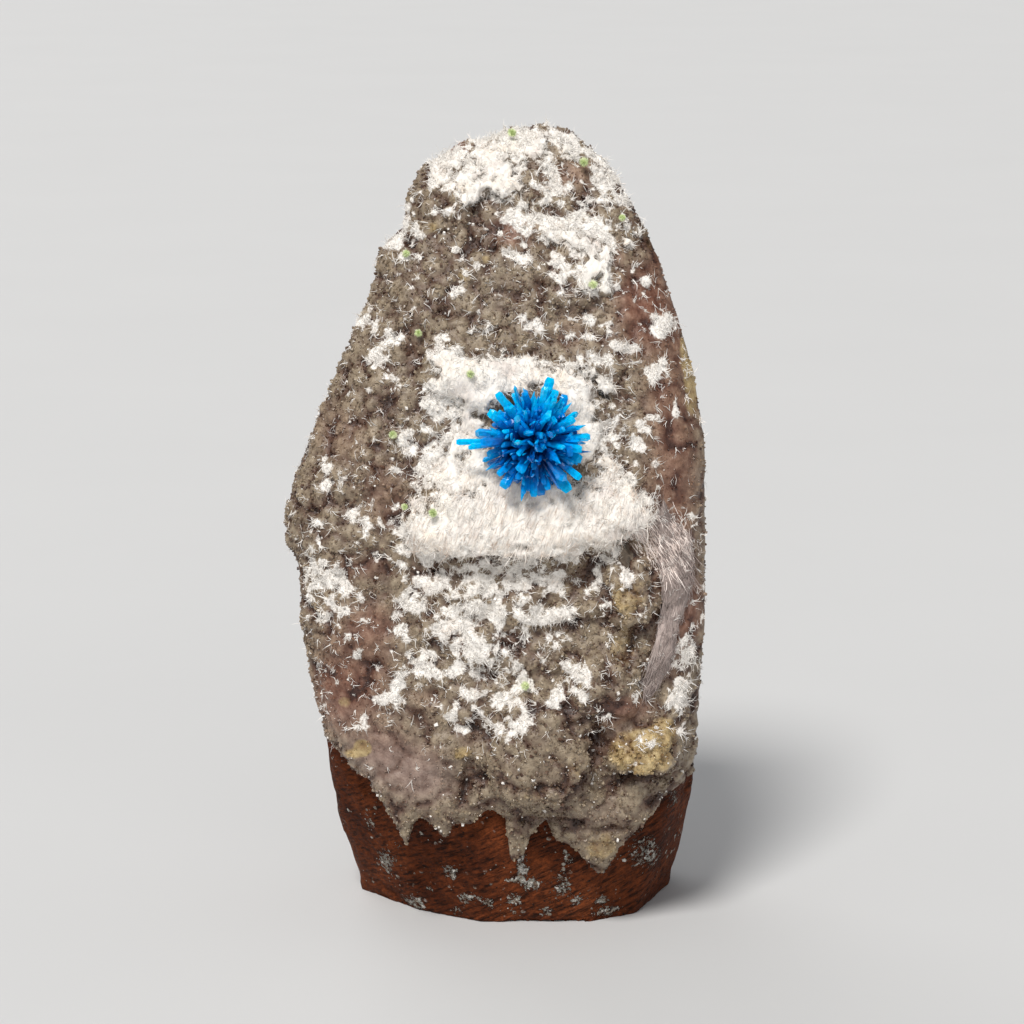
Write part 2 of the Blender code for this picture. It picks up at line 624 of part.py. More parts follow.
def main():
    for obj in list(bpy.data.objects):
        bpy.data.objects.remove(obj)
    brown = material("basalt", (0.105, 0.034, 0.018), 0.82)
    grey = material("druse", (0.190, 0.150, 0.110), 0.55)
    white = material("mordenite", (0.800, 0.770, 0.720), 0.85)
    blue = material("pentagonite", (0.005, 0.120, 0.480), 0.18, transmission=0.25)
    green = material("green_crystals", (0.330, 0.520, 0.120), 0.45)

    rock = basalt()
    outline, points, faces, depth = crust_parts()
    shell = crust(outline, points, faces, depth)
    mats = [
        mat(name, points, depth, faces, edge, thickness) for name, (edge, thickness) in MATS.items()
    ]
    carried = depth.copy()
    for edge, thickness in MATS.values():
        chosen = sorted({i for face in mat_faces(points, faces, edge) for i in face})
        carried[chosen] = mat_depth(points, depth, edge, thickness)[chosen]
    group = cluster(points, carried, faces)
    normals = outward(points, carried, faces)
    balls = [
        spherule(i + 1, x, z, radius, points, carried, normals)
        for i, (x, z, radius) in enumerate(SPHERULES)
    ]
    for obj, look in [(rock, brown), (shell, grey), *((m, white) for m in mats), (group, blue)]:
        obj.data.materials.append(look)
    for ball in balls:
        ball.data.materials.append(green)
    centred([rock, shell, *mats, group, *balls])


main()
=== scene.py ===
import math

import bpy
import numpy as np
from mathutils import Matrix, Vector, noise
from mathutils.bvhtree import BVHTree
from mathutils.kdtree import KDTree


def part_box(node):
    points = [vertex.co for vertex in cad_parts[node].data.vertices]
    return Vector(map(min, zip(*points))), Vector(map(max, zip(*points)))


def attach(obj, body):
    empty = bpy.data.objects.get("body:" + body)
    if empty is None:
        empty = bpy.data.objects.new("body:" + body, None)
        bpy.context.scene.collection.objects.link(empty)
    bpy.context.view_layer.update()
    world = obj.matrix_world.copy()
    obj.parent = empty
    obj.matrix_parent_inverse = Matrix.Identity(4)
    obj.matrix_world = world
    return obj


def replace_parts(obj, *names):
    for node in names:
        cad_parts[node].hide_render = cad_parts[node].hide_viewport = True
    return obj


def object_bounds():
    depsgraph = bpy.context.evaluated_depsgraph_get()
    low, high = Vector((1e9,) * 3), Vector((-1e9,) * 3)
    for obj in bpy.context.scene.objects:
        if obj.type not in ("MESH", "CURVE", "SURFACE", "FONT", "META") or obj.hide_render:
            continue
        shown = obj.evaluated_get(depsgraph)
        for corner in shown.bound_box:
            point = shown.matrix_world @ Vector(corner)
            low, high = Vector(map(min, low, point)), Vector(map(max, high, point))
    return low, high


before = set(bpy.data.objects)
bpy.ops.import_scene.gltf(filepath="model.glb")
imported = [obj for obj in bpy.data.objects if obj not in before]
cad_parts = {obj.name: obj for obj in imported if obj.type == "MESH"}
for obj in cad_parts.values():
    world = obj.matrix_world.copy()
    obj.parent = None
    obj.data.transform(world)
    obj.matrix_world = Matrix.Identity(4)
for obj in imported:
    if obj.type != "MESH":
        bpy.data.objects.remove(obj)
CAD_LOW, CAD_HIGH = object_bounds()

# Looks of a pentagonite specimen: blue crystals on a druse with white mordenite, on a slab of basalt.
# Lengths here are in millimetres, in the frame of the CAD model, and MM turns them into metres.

MM = 0.001

# Camera: where it looks, how far away it is and how steeply it looks down
LOOK_AT = (1.8, 0.0, 45.7)
CAMERA_DISTANCE = 375.5
CAMERA_ELEVATION = 12.0
CAMERA_LENS = 120.0
SKY_STRENGTH = 0.28
FLOOR_SIZE = 9000.0

# Patches of white fibre on the front, as (x, z, half width, half height, strength)
WHITE_PATCHES = (
    # top of the slab
    (-1, 86, 2.6, 1.6, 1), (2.5, 86.6, 2.6, 1.2, 1), (0.4, 84.2, 2.4, 2, 1), (0.8, 82, 1.8, 1.3, 1),
    (-5.2, 83.9, 1.5, 1.2, 0.9), (-2.6, 82.4, 1.9, 1.6, 0.9), (-3.3, 81.1, 1.2, 0.9, 0.9),
    (-6.2, 82.6, 1, 1, 0.6), (4.2, 85.9, 1.3, 1.2, 0.9), (5.6, 84, 1.2, 1.2, 0.7), (7, 86.3, 1.7, 0.9, 0.9),
    (8.8, 85.6, 1.4, 1, 0.8), (6.1, 81.3, 1.1, 1.2, 0.7), (10.8, 83.2, 1.4, 1.4, 0.6),
    (12.6, 82, 1.3, 1.6, 0.8), (13.4, 79.8, 1.4, 1.2, 0.6), (3, 84.9, 0.9, 0.9, 0.5),
    (-8.6, 80.6, 0.7, 0.7, 0.4), (2.6, 81.9, 0.8, 0.5, 0.5), (3.4, 78.3, 1.2, 0.5, 0.5),
    (1.6, 79.2, 0.8, 0.6, 0.5),
    # band that runs down to the right from the top
    (5.8, 77.4, 1.5, 1.4, 0.9), (7.8, 77.2, 1.8, 1.2, 1), (9.6, 76.2, 1.8, 1.4, 1),
    (11.2, 75.4, 1.6, 1.2, 1), (9, 78.5, 2.4, 0.8, 0.5), (12.2, 77.6, 1.3, 1.2, 0.5),
    (14, 76.8, 1.2, 1.3, 0.6), (15.2, 77.6, 0.9, 1, 0.5), (10.8, 73.5, 1.6, 1.7, 1),
    (11.2, 71.6, 1.4, 1.1, 0.9), (9.6, 72.6, 1.2, 1.2, 0.9), (7, 73.2, 1.4, 1.3, 0.8),
    (6.4, 75, 1, 0.8, 0.6), (7.5, 71, 0.9, 0.8, 0.6), (12.4, 71.3, 0.8, 0.9, 0.6),
    (16.2, 71.4, 1.2, 0.7, 0.4), (14.3, 73.6, 0.8, 1.1, 0.3), (2.2, 74.8, 1, 0.8, 0.7),
    (-4.5, 75.4, 1, 0.5, 0.6), (-3, 74, 1, 0.8, 0.6), (-11, 76.8, 1.6, 1.3, 0.8), (-9, 78.6, 1.2, 1.5, 0.5),
    (-8.7, 71.6, 0.5, 1, 0.5), (-5.6, 78.9, 0.8, 0.8, 0.4), (4.6, 68, 1, 1, 0.8),
    (2.2, 68.2, 0.9, 0.8, 0.5), (-14, 67.6, 1.1, 1, 0.5), (-12.5, 68.2, 0.8, 1, 0.6),
    (-11.2, 66.2, 1.5, 0.8, 0.7), (-12.6, 64, 1.3, 0.9, 0.7), (-11, 61.3, 1, 0.8, 0.7),
    (-6.5, 66.3, 1.1, 0.7, 0.5), (-1.6, 67.2, 1.8, 0.8, 0.5), (-2.4, 69.3, 0.7, 0.8, 0.4),
    (-4.2, 71, 0.9, 0.8, 0.4), (12, 67.9, 0.8, 0.7, 0.5),
    # around the blue crystals
    (2.6, 63.2, 2, 1.3, 0.8), (-5.6, 64.6, 1.6, 0.9, 0.8), (6, 62.2, 1.6, 1.2, 0.9),
    (10.2, 62.9, 1, 0.8, 0.6), (-6.8, 54.6, 1.6, 1, 0.5), (10.4, 56, 0.8, 1.6, 0.5),
    (-4.2, 63.4, 1.5, 2.2, 1), (-1.4, 62.3, 2.6, 2.2, 1), (0.6, 63.2, 1.8, 1.4, 1),
    (-6.5, 61, 1.5, 1.3, 0.7), (-7, 59.2, 1, 1.1, 0.5), (-3.2, 58.2, 1.4, 1.4, 0.6),
    (8.2, 61.3, 1.4, 1.4, 1), (9.2, 59.6, 1.2, 1.8, 1), (8.6, 57.4, 1.1, 1.8, 0.9),
    (9.3, 54.6, 0.9, 1.5, 0.6), (7.2, 63.2, 0.9, 0.9, 0.7), (3.6, 64, 1.6, 0.7, 0.6),
    (-6.6, 52.8, 2.4, 1.6, 0.6), (-4.4, 51.4, 2.4, 1.4, 0.6), (-1.5, 53.4, 2.2, 1.6, 0.7),
    (1, 51.8, 2.4, 1.6, 0.8), (5, 51, 3, 1.2, 0.8), (-8.8, 50.6, 1, 1.2, 0.5),
    # right side
    (12.2, 61.4, 1.3, 0.9, 0.8), (17.1, 62.6, 1.4, 1.3, 1), (14.6, 65.4, 1.2, 0.7, 0.7),
    (18.2, 67.8, 1.2, 0.8, 0.8), (12.9, 66, 0.9, 0.7, 0.5), (10, 66.2, 0.6, 1.6, 0.5),
    (16.2, 57.4, 1.5, 0.7, 0.7), (12.4, 55.6, 1.9, 0.8, 0.7), (19, 58.6, 0.4, 0.9, 0.6),
    (11.9, 53.2, 1.6, 1.2, 0.6), (16.9, 53, 1.2, 0.6, 0.4), (21, 46.9, 0.7, 0.3, 0.6),
    (15.4, 55.2, 0.9, 0.6, 0.6), (11.6, 57.2, 1.3, 0.4, 0.4), (17.6, 51, 0.8, 0.6, 0.4),
    # left side
    (-18.3, 52, 1, 1.2, 0.6), (-16.2, 51.3, 1.2, 0.7, 0.8), (-15, 48.1, 1.4, 0.5, 0.6),
    (-13.6, 46.7, 1.2, 1.1, 0.7), (-19, 46.8, 0.7, 0.8, 0.5), (-10.9, 46.2, 0.9, 1.1, 0.5),
    (-18.5, 41.5, 1.6, 1.4, 0.7), (-19.4, 39, 1.1, 1.8, 0.6), (-17, 39.8, 1.2, 1.5, 0.6),
    (-18.3, 36.4, 1, 1.3, 0.5), (-15.6, 36.9, 1.2, 0.4, 0.8), (-14.7, 32.5, 0.6, 0.6, 0.9),
    (-16, 33, 0.4, 0.5, 0.5), (-13, 43.4, 1, 0.7, 0.4), (-10.7, 42.4, 0.8, 0.8, 0.5),
    (-19.6, 43.8, 1.2, 0.8, 0.4), (-10.6, 39.4, 0.6, 0.7, 0.6), (-16.6, 29, 0.3, 0.7, 0.4),
    # the bright ledge
    (-7.5, 46.2, 2.4, 3.2, 1), (-4, 47, 2.8, 3.6, 1), (0, 47.2, 3, 3.8, 1), (4, 47.4, 3.2, 3.8, 1),
    (8, 47.6, 3.2, 3.8, 1), (12, 48.4, 3, 3.4, 1), (15, 48.6, 1.8, 2.6, 0.9), (13.6, 51.2, 1.4, 1, 0.8),
    (17.6, 45.8, 1.4, 1.2, 0.8), (12.4, 43.6, 1.4, 1.2, 0.7), (2.5, 43.4, 3.6, 1.2, 0.45),
    (-1.2, 42.4, 2.4, 1, 0.4), (19.6, 44.4, 1.4, 0.7, 0.7), (13.8, 41.4, 1.2, 0.8, 0.6),
    (7.4, 43.8, 1.6, 1, 0.4),
    # tufts in rows on the lumps below the ledge
    (-6.2, 40.2, 1.6, 0.9, 0.9), (-2, 40.4, 1.5, 1.2, 0.9), (0.6, 40.5, 1.5, 1, 0.9),
    (3.2, 40.1, 1.4, 0.7, 0.8), (5.4, 41.4, 1.4, 0.7, 0.6), (-8.6, 38.2, 1.3, 0.9, 0.8),
    (-4.6, 36.6, 1.5, 1.4, 0.9), (-2.4, 38, 1.8, 1.2, 1), (0.4, 37.4, 1.3, 1.5, 0.9), (5.4, 37, 2, 0.9, 1),
    (7.4, 37.2, 1, 0.8, 0.8), (9.3, 36.5, 0.9, 0.5, 0.7), (-10.9, 36.6, 1.1, 1.3, 0.7),
    (-9.6, 35.4, 0.9, 0.9, 0.7), (6.6, 34.3, 1.3, 0.6, 0.7), (12, 34.4, 0.9, 0.4, 0.6),
    (11.2, 38, 0.9, 0.6, 0.6), (-3.2, 33.8, 1.3, 1.3, 1), (-1.6, 32.6, 1.1, 1.3, 1),
    (0.5, 32.6, 1.2, 0.9, 0.7), (-6.2, 32.7, 1.3, 0.7, 0.7), (-7.6, 31.3, 1.4, 0.7, 0.9),
    (-5.6, 30.9, 1.3, 0.6, 0.9), (-3, 30.8, 1.4, 0.6, 0.9), (1.6, 31.4, 1, 1.3, 0.6), (8.6, 31, 1.4, 1, 1),
    (10.1, 30.4, 0.8, 0.6, 0.6), (-10.9, 29.8, 0.9, 0.8, 0.8), (-11.4, 27.7, 1.4, 0.5, 0.9),
    (1.4, 28, 1.2, 0.9, 1), (6.8, 28.4, 0.8, 0.7, 0.6), (9.2, 28.7, 0.8, 0.6, 0.6), (11, 27.2, 1, 0.6, 0.9),
    (16, 28.5, 0.9, 0.9, 1), (-1.7, 28.4, 0.9, 0.5, 0.5), (-0.2, 27.8, 0.8, 0.4, 0.5),
    (-1.2, 26.2, 0.5, 0.9, 0.8), (-4.3, 26.1, 0.6, 0.7, 0.9), (0.2, 24.5, 1.1, 0.3, 0.8),
    (2.9, 25.8, 1.2, 0.7, 1), (-4.1, 24.2, 0.6, 0.4, 0.7), (-14.2, 24.9, 0.6, 0.5, 1),
    (-15.4, 23.8, 0.5, 0.4, 1), (4.2, 29.4, 0.7, 0.6, 0.5), (-5.8, 22.6, 0.6, 0.6, 0.4),
    # right edge, low down
    (20.3, 32, 1.3, 1.2, 0.8), (19.8, 28.8, 1.3, 1, 0.8), (19.6, 26.5, 1.4, 1.2, 0.9),
    (18.7, 24.8, 0.8, 0.8, 0.5), (17, 22.9, 1.5, 0.4, 0.8), (20.6, 34, 0.7, 0.6, 0.5),
    (21.2, 38.9, 0.5, 0.3, 0.9), (20.8, 41, 0.8, 0.9, 0.5), (15.6, 23.4, 0.6, 0.3, 0.6),
    (20.2, 23.4, 0.8, 1.6, 0.4),
    # thin web between the patches
    (-1, 40.4, 8, 1.6, 0.5), (-2, 35, 8.5, 6, 0.32), (9, 40.8, 3, 1.2, 0.4), (-8, 54.6, 3.6, 3.4, 0.45),
    (3.6, 79, 6, 4, 0.28), (10.6, 80.6, 3.4, 3, 0.22), (-3, 59.6, 3.6, 3.2, 0.7), (2, 62.6, 3.2, 1.6, 0.8),
    (9.6, 58, 2.2, 3.6, 0.6), (10.6, 63.4, 2.2, 1.4, 0.45), (-2.4, 54.4, 3.4, 3, 0.6),
    (-4.4, 83, 2.6, 2, 0.5), (2, 27.6, 8, 3, 0.25), (-10, 76, 3, 3.4, 0.3), (5, 67, 9, 4, 0.12),
    (-17, 40, 3.4, 5, 0.25), (13.6, 56.4, 4, 3, 0.3),
)
# Where fibre is combed into silk, in the same form
SILK_PATCHES = (
    (13.8, 48.4, 1.2, 0.9, 1), (15, 47, 1.3, 1.1, 1), (16.2, 45.4, 1.3, 1.3, 1), (17.4, 43.8, 1.2, 1.3, 1),
    (18.4, 42, 1, 1.1, 0.9), (19.4, 45.2, 1, 1.4, 0.9), (20.2, 43.2, 0.8, 1.2, 0.8),
)
# Where the crust is thin and the red-brown rock shows through, in the same form
RED_PATCHES = (
    (19, 50, 3, 9, 0.7), (18.4, 60, 2.6, 5, 0.6), (16.5, 68.5, 3.4, 4, 0.9), (15.4, 71, 2.6, 2.4, 0.7),
    (8, 83, 2.6, 1.6, 0.5), (2, 77.2, 2.2, 1.6, 0.8), (13, 74.8, 1, 1, 0.5), (20.6, 37, 2, 4, 0.9),
    (18.6, 33, 1.6, 3.4, 0.6), (14.6, 26.6, 2.6, 1.6, 0.8), (12.6, 25, 1.4, 2.4, 0.5), (-15, 30, 4, 7, 0.7),
    (-17.4, 27, 2.6, 4, 0.8), (-12, 21, 3.6, 3.4, 0.9), (-8, 19, 3.4, 3, 0.9), (-13, 36, 2.4, 2.2, 0.6),
    (-7.6, 27.6, 1.6, 1.4, 0.3), (-14.6, 42, 3, 1.2, 0.5), (-16.6, 56, 3, 3, 0.3),
    (-11.8, 50, 2.4, 3.4, 0.4), (8, 67, 1.6, 2, 0.3), (-4.2, 85.6, 1.3, 0.6, 1), (20, 66, 1.4, 3, 0.6),
    (17.6, 74, 1.2, 1.6, 0.5), (-2.8, 23.4, 1.2, 1.2, 0.3), (11.2, 14.6, 2.4, 1.2, 0.3),
)
# Lumps that are tan or yellow, in the same form
YELLOW_PATCHES = (
    (14, 39.4, 2.4, 3, 0.5), (13.6, 33.6, 2.4, 2.8, 0.4), (15.8, 22, 3.5, 2.5, 1),
    (18.2, 24, 1.4, 1.4, 0.8), (-14.4, 21.9, 1, 1, 1), (-15.6, 21, 1, 0.6, 0.6),
    (-16.4, 26.8, 0.8, 0.8, 0.5), (-3.6, 21.7, 1.2, 1, 0.6), (21.2, 61, 0.9, 3.4, 0.9),
    (20.4, 64.6, 0.7, 2.4, 0.7), (-6.6, 77.6, 0.9, 0.8, 0.5), (-3.2, 72.8, 1, 0.9, 0.5),
    (-1, 74.4, 0.6, 0.6, 0.5), (13, 67.4, 1.4, 1.2, 0.3), (8.6, 20.8, 1.6, 2.2, 0.35),
    (4, 18, 3.4, 2.2, 0.3), (11.6, 10.6, 2.4, 2.4, 0.45), (-12.6, 67, 1.2, 1.2, 0.3),
    (14.4, 64.2, 1, 0.9, 0.35), (-18.4, 47.4, 1.4, 1.4, 0.3), (-6.6, 14.6, 2, 1.2, 0.3),
    (9, 29.2, 0.9, 0.9, 0.5), (11, 26.2, 1.1, 0.8, 0.45), (17.2, 76.2, 0.8, 1.4, 0.6),
)
# Gaps between lumps, sunk into the crust and darkened with painted shade, in the same form
GAPS = (
    (11.1, 22.8, 0.8, 2.6, 1), (15.4, 18.7, 3.4, 0.55, 1), (15, 35.2, 0.7, 0.9, 1),
    (9.8, 25.6, 1, 0.6, 0.7), (12.2, 30.4, 0.9, 1.2, 0.7), (17, 40.6, 0.5, 2, 0.7),
    (4.6, 13.6, 3.6, 0.5, 0.6), (-3, 19, 0.6, 2.2, 0.5), (12.4, 12.6, 2.6, 0.5, 0.6),
    (-8, 25.4, 0.9, 0.8, 0.6), (4.4, 33, 1.6, 0.4, 0.6), (-0.4, 30.2, 1.4, 0.4, 0.5),
    (9, 40.6, 1.8, 0.7, 0.7), (-5, 41.8, 1.8, 0.4, 0.5), (13, 60.2, 0.8, 0.8, 0.6),
    (-10.4, 49, 0.8, 0.7, 0.6), (2, 70.6, 2.2, 0.6, 0.5), (-5, 69, 1.4, 0.6, 0.5), (4.6, 72.2, 0.8, 1, 0.5),
    (-8.8, 65, 0.8, 1, 0.5),
)

CRUST_EDGE_LENGTH = 0.42  # longest edge of the crust's mesh on its outer side
CRUST_SWELL = (4.5, 0.3)  # width and height of its gentle swells
CRUST_LUMPS = ((2.3, 0.8), (1.25, 0.55), (0.6, 0.14))  # width and height of its rounded lumps
# Tiny crystals on the crust: how many, and their widths from and to
CRUST_CRYSTALS = {"druse_crystals_large": (3200, 0.26, 0.44), "druse_crystals_small": (17500, 0.12, 0.26)}
SIDE_LIMIT = CAD_HIGH[0] / MM + 0.35  # how far out from the middle the crust and the fibres may reach

# Blue crystals, each a blade that starts near the middle, as (angle in the front view from +X, tilt towards
# the front, length, width, thickness, True where the tip is a point)
RIM_CRYSTALS = (
    (75, 12, 7.3, 1.0, 0.7, False), (67, 20, 6.6, 0.8, 0.6, False), (57, 14, 5.8, 0.6, 0.45, True),
    (46, 10, 5.9, 0.45, 0.35, True), (32, 24, 5.6, 0.8, 0.6, False), (19, 16, 6.1, 0.5, 0.35, True),
    (6, 14, 6.2, 0.8, 0.65, False), (354, 26, 5.7, 0.85, 0.65, False), (340, 14, 5.6, 1.05, 0.8, False),
    (323, 16, 6.5, 0.8, 0.6, False), (307, 20, 6.7, 1.15, 0.9, False), (288, 16, 5.5, 0.7, 0.5, False),
    (271, 18, 6.0, 0.8, 0.6, False), (259, 12, 6.5, 0.65, 0.45, True), (236, 18, 6.0, 1.1, 0.85, False),
    (222, 24, 5.4, 0.7, 0.5, False), (212, 8, 5.9, 0.45, 0.35, True), (196, 12, 5.1, 0.8, 0.6, False),
    (180, 8, 8.1, 0.65, 0.5, False), (166, 18, 5.4, 0.7, 0.5, True), (145, 12, 5.8, 1.0, 0.75, False),
    (125, 14, 6.7, 0.85, 0.6, False), (111, 22, 5.2, 0.6, 0.45, True), (100, 10, 5.9, 0.42, 0.32, True),
    (87, 22, 5.4, 0.7, 0.5, True),
)
SMALL_CRYSTALS = 230
TINY_CRYSTALS = 170
CLUSTER_MIDDLE = (3.99, 56.66)  # x and z of the point that the blue crystals radiate from
CLUSTER_DEPTH = 5.45  # how far it lies behind the foremost point of the CAD cluster
GOLDEN_ANGLE = 137.508  # turn from one small crystal to the next, which spreads them evenly
BALL_NEEDLES = 260  # needles of one green ball
BALL_NEEDLE_RADIUS = 0.075

SAW_TILT = 27  # how steeply the saw marks on the foot rise to the right, in degrees

TUFTS = 5200  # tufts of fibre where the crust is white
LONE_TUFTS = 330  # and on the rest of it
STRAYS = 1300  # feet of stray needles
TUFT_WIDTH = 0.3  # half width of the white spot under a tuft
LONGEST_NEEDLE = 1.6
# Loose fibre: needles a tuft, their length and radius, how low they lie (0 to 1), how far they fan out, and
# True where they are bent
FIBRES = {
    "mordenite_flakes": (5, 0.95, 0.042, 0.85, 1.2, True),
    "mordenite_feathers": (5, 1.15, 0.042, 0.85, 0.42, True),
    "mordenite_sprays": (6, 0.95, 0.038, 0.75, 0.9, True),
    "mordenite_strays": (3, 0.9, 0.034, 0.85, 0.35, True),
    "mordenite_mat_fibres": (7, 0.5, 0.026, 0.8, 0.6, False),
    "mordenite_mat_curls": (3, 0.95, 0.034, 0.9, 0.5, True),
}
MAT_TUFTS = (("mordenite_mat_fibres", 3800), ("mordenite_mat_curls", 1900))
# How far combed fibre runs to the right as it rises, as (height, lean) stations
BAND_LEAN = ((28.0, 0.45), (35.0, 0.25), (39.5, 0.05), (42.0, -0.6), (49.0, -0.85))
LEDGE_LEAN = ((40.0, 0.3), (52.0, 0.45))
# Combed fibre: how many strands, how they lean, their length and radius
COMBED = {
    "mordenite_ledge_strands": (2900, LEDGE_LEAN, 1.5, 0.036),
    "mordenite_band_strands": (2000, BAND_LEAN, 1.7, 0.032),
    "mordenite_arch_strands": (1600, BAND_LEAN, 1.3, 0.05),
}
LEDGE_TOP = 53.0  # height up to which the bed of fibre is combed

MATS = ("mordenite_top", "mordenite_bed", "mordenite_band", "mordenite_veil")
THIN_MATS = ("mordenite_top", "mordenite_veil")
SILK_MAT = "mordenite_band"
MAT_EDGE_LENGTH = 0.42

# Fillings of old gas bubbles in the sawn foot, as (x, z, half width, half height, strength)
FILLINGS = (
    (-12.3, 5.6, 0.7, 1.1, 0.8), (-9.2, 0.8, 0.8, 0.6, 1), (-5, 6, 0.5, 0.8, 0.9), (-2.8, 3, 0.9, 0.4, 1),
    (-0.7, 2.5, 0.5, 0.5, 0.8), (2, 2.9, 0.6, 0.5, 1), (2.9, 7.2, 0.4, 1.4, 1), (2.4, 5.8, 0.9, 0.4, 0.9),
    (4, 5, 0.7, 0.6, 1), (7.3, 5, 0.7, 1.4, 0.7), (9, 3, 0.6, 0.5, 0.8), (11.8, 2.5, 0.7, 0.4, 1),
    (12.5, 0.9, 0.9, 0.5, 0.9), (8, 8.5, 0.4, 0.6, 0.8), (16.4, 8, 1.1, 1.3, 0.7),
    (17.6, 6.4, 0.6, 0.9, 0.6), (12, 7.2, 0.4, 0.9, 0.8), (15.2, 11, 0.8, 0.8, 0.5),
    (-14, 10.4, 0.4, 0.7, 0.7), (-7.6, 3.2, 0.4, 0.3, 0.7), (5.6, 1.4, 0.5, 0.4, 0.7),
    (-4.4, 0.9, 0.5, 0.4, 0.7), (19.6, 14, 0.5, 1, 0.6), (-10.6, 8.4, 0.4, 0.4, 0.6),
)


def welded(points, triangles):
    """Points that lie in the same place become one."""
    _, first, index = np.unique(np.round(points, 4), axis=0, return_index=True, return_inverse=True)
    triangles = index.reshape(-1)[triangles]
    whole = (triangles != np.roll(triangles, 1, axis=1)).all(axis=1)
    return points[first], triangles[whole]


def node_mesh(name):
    """The points of a CAD node and its triangles."""
    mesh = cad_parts[name].data
    mesh.calc_loop_triangles()
    points = np.array([tuple(vertex.co) for vertex in mesh.vertices]) / MM
    return welded(points, np.array([tuple(triangle.vertices) for triangle in mesh.loop_triangles]))


def node_tree(name):
    """A CAD node for distances."""
    return BVHTree.FromPolygons(*[part.tolist() for part in node_mesh(name)])


def distances(tree, points):
    return np.array([tree.find_nearest(Vector(p))[3] for p in points])


# How a triangle a, b, c is cut when some of its edges ab, bc, ca have a new point, here d, e and f
SPLITS = {
    0: ("abc",), 1: ("adc", "dbc"), 2: ("abe", "aec"), 4: ("abf", "fbc"), 3: ("dbe", "ade", "aec"),
    6: ("ecf", "abe", "aef"), 5: ("adf", "dbc", "dcf"), 7: ("adf", "dbe", "fec", "def"),
}


def edges_of(triangles):
    """Each edge once, and for each triangle the three edges that it has."""
    pairs = np.sort(triangles[:, [[0, 1], [1, 2], [2, 0]]].reshape(-1, 2), axis=1)
    edges, which = np.unique(pairs, axis=0, return_inverse=True)
    return edges, which.reshape(-1, 3)


def refined(points, triangles, longest, rounds=4):
    """The same surface with its long edges halved. The longest edge is given by a function of place."""
    for _ in range(rounds):
        edges, which = edges_of(triangles)
        start, end = points[edges[:, 0]], points[edges[:, 1]]
        middle = (start + end) / 2
        split = np.linalg.norm(end - start, axis=1) > longest(middle)
        if not split.any():
            break
        fresh = np.full(len(edges), -1)
        fresh[split] = len(points) + np.arange(split.sum())
        new = fresh[which]
        kind = (new >= 0) @ np.array([1, 2, 4])
        parts = []
        for number, pieces in SPLITS.items():
            rows = kind == number
            corners = np.concatenate([triangles[rows], new[rows]], axis=1)
            parts += [corners[:, ["abcdef".index(c) for c in piece]] for piece in pieces]
        points = np.concatenate([points, middle[split]])
        triangles = np.concatenate(parts)
    return points, triangles


def spread(values, corners, count):
    """Sum of the values at each point."""
    return np.stack([np.bincount(corners, values[:, k], count) for k in range(3)], axis=1)


def relaxed(points, triangles, times):
    """The surface with its corners smoothed away."""
    edges, _ = edges_of(triangles)
    both = np.concatenate([edges, edges[:, ::-1]])
    weight = np.bincount(both[:, 0], minlength=len(points))[:, None]
    for _ in range(times):
        around = spread(points[both[:, 1]], both[:, 0], len(points)) / np.maximum(weight, 1)
        points = points + 0.5 * (around - points)
    return points


def outward(points, triangles):
    """Unit normal at each point."""
    a, b, c = (points[triangles[:, k]] for k in range(3))
    face = np.cross(b - a, c - a)
    total = sum(spread(face, triangles[:, k], len(points)) for k in range(3))
    return total / np.maximum(np.linalg.norm(total, axis=1), 1e-9)[:, None]


def sampled(points, size, seed, read):
    """What a noise function reads at each point, for features of this size."""
    shift = Vector((seed * 7.3, seed * 3.1, seed * 5.7))
    return np.array([read(Vector(p) / size + shift) for p in points])


def noise_at(points, size, seed):
    """Smooth noise from -1 to 1, with lumps of about this size."""
    return sampled(points, size, seed, noise.noise)


def lumps_at(points, size, seed):
    """Rounded lumps of this size: 1 in the middle of a lump and about 0 in the creases between lumps."""
    near = sampled(points, size, seed, lambda place: noise.voronoi(place)[0][0])
    return np.sqrt(np.maximum(0.0, 1 - (near / 0.82) ** 2))


def strength(points, patches, wander=0.0):
    """How much of a patch list covers each point, from 0 to 1. The wander makes ragged outlines."""
    x, z = points[:, 0], points[:, 2]
    if wander:
        x = x + wander * (noise_at(points, 1.7, 31.0) + 0.5 * noise_at(points, 0.7, 32.0))
        z = z + wander * (noise_at(points, 1.7, 33.0) + 0.5 * noise_at(points, 0.7, 34.0))
    bare = np.ones(len(points))
    for centre_x, centre_z, wide, high, power in patches:
        far = ((x - centre_x) / wide) ** 2 + ((z - centre_z) / high) ** 2
        bare *= 1 - power * np.exp(-0.9 * far**1.5)
    return 1 - bare


def smoothstep(low, high, value):
    t = np.clip((value - low) / (high - low), 0, 1)
    return t * t * (3 - 2 * t)


def in_scene(name, data):
    obj = bpy.data.objects.new(name, data)
    bpy.context.scene.collection.objects.link(obj)
    return obj


def mesh_object(name, points, triangles, look, slot, smooth, cover=None):
    """An object that rides on the specimen, made from points in millimetres."""
    mesh = bpy.data.meshes.new(name)
    mesh.from_pydata((points * MM).tolist(), [], triangles.tolist(), shade_flat=not smooth)
    mesh.validate()
    if cover is not None:
        layer = mesh.attributes.new("cover", "FLOAT_COLOR", "POINT")
        layer.data.foreach_set("color", np.clip(cover, 0, 1).astype(np.float32).ravel())
    mesh.materials.append(look)
    obj = in_scene(name, mesh)
    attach(obj, "root")
    return obj


# Materials


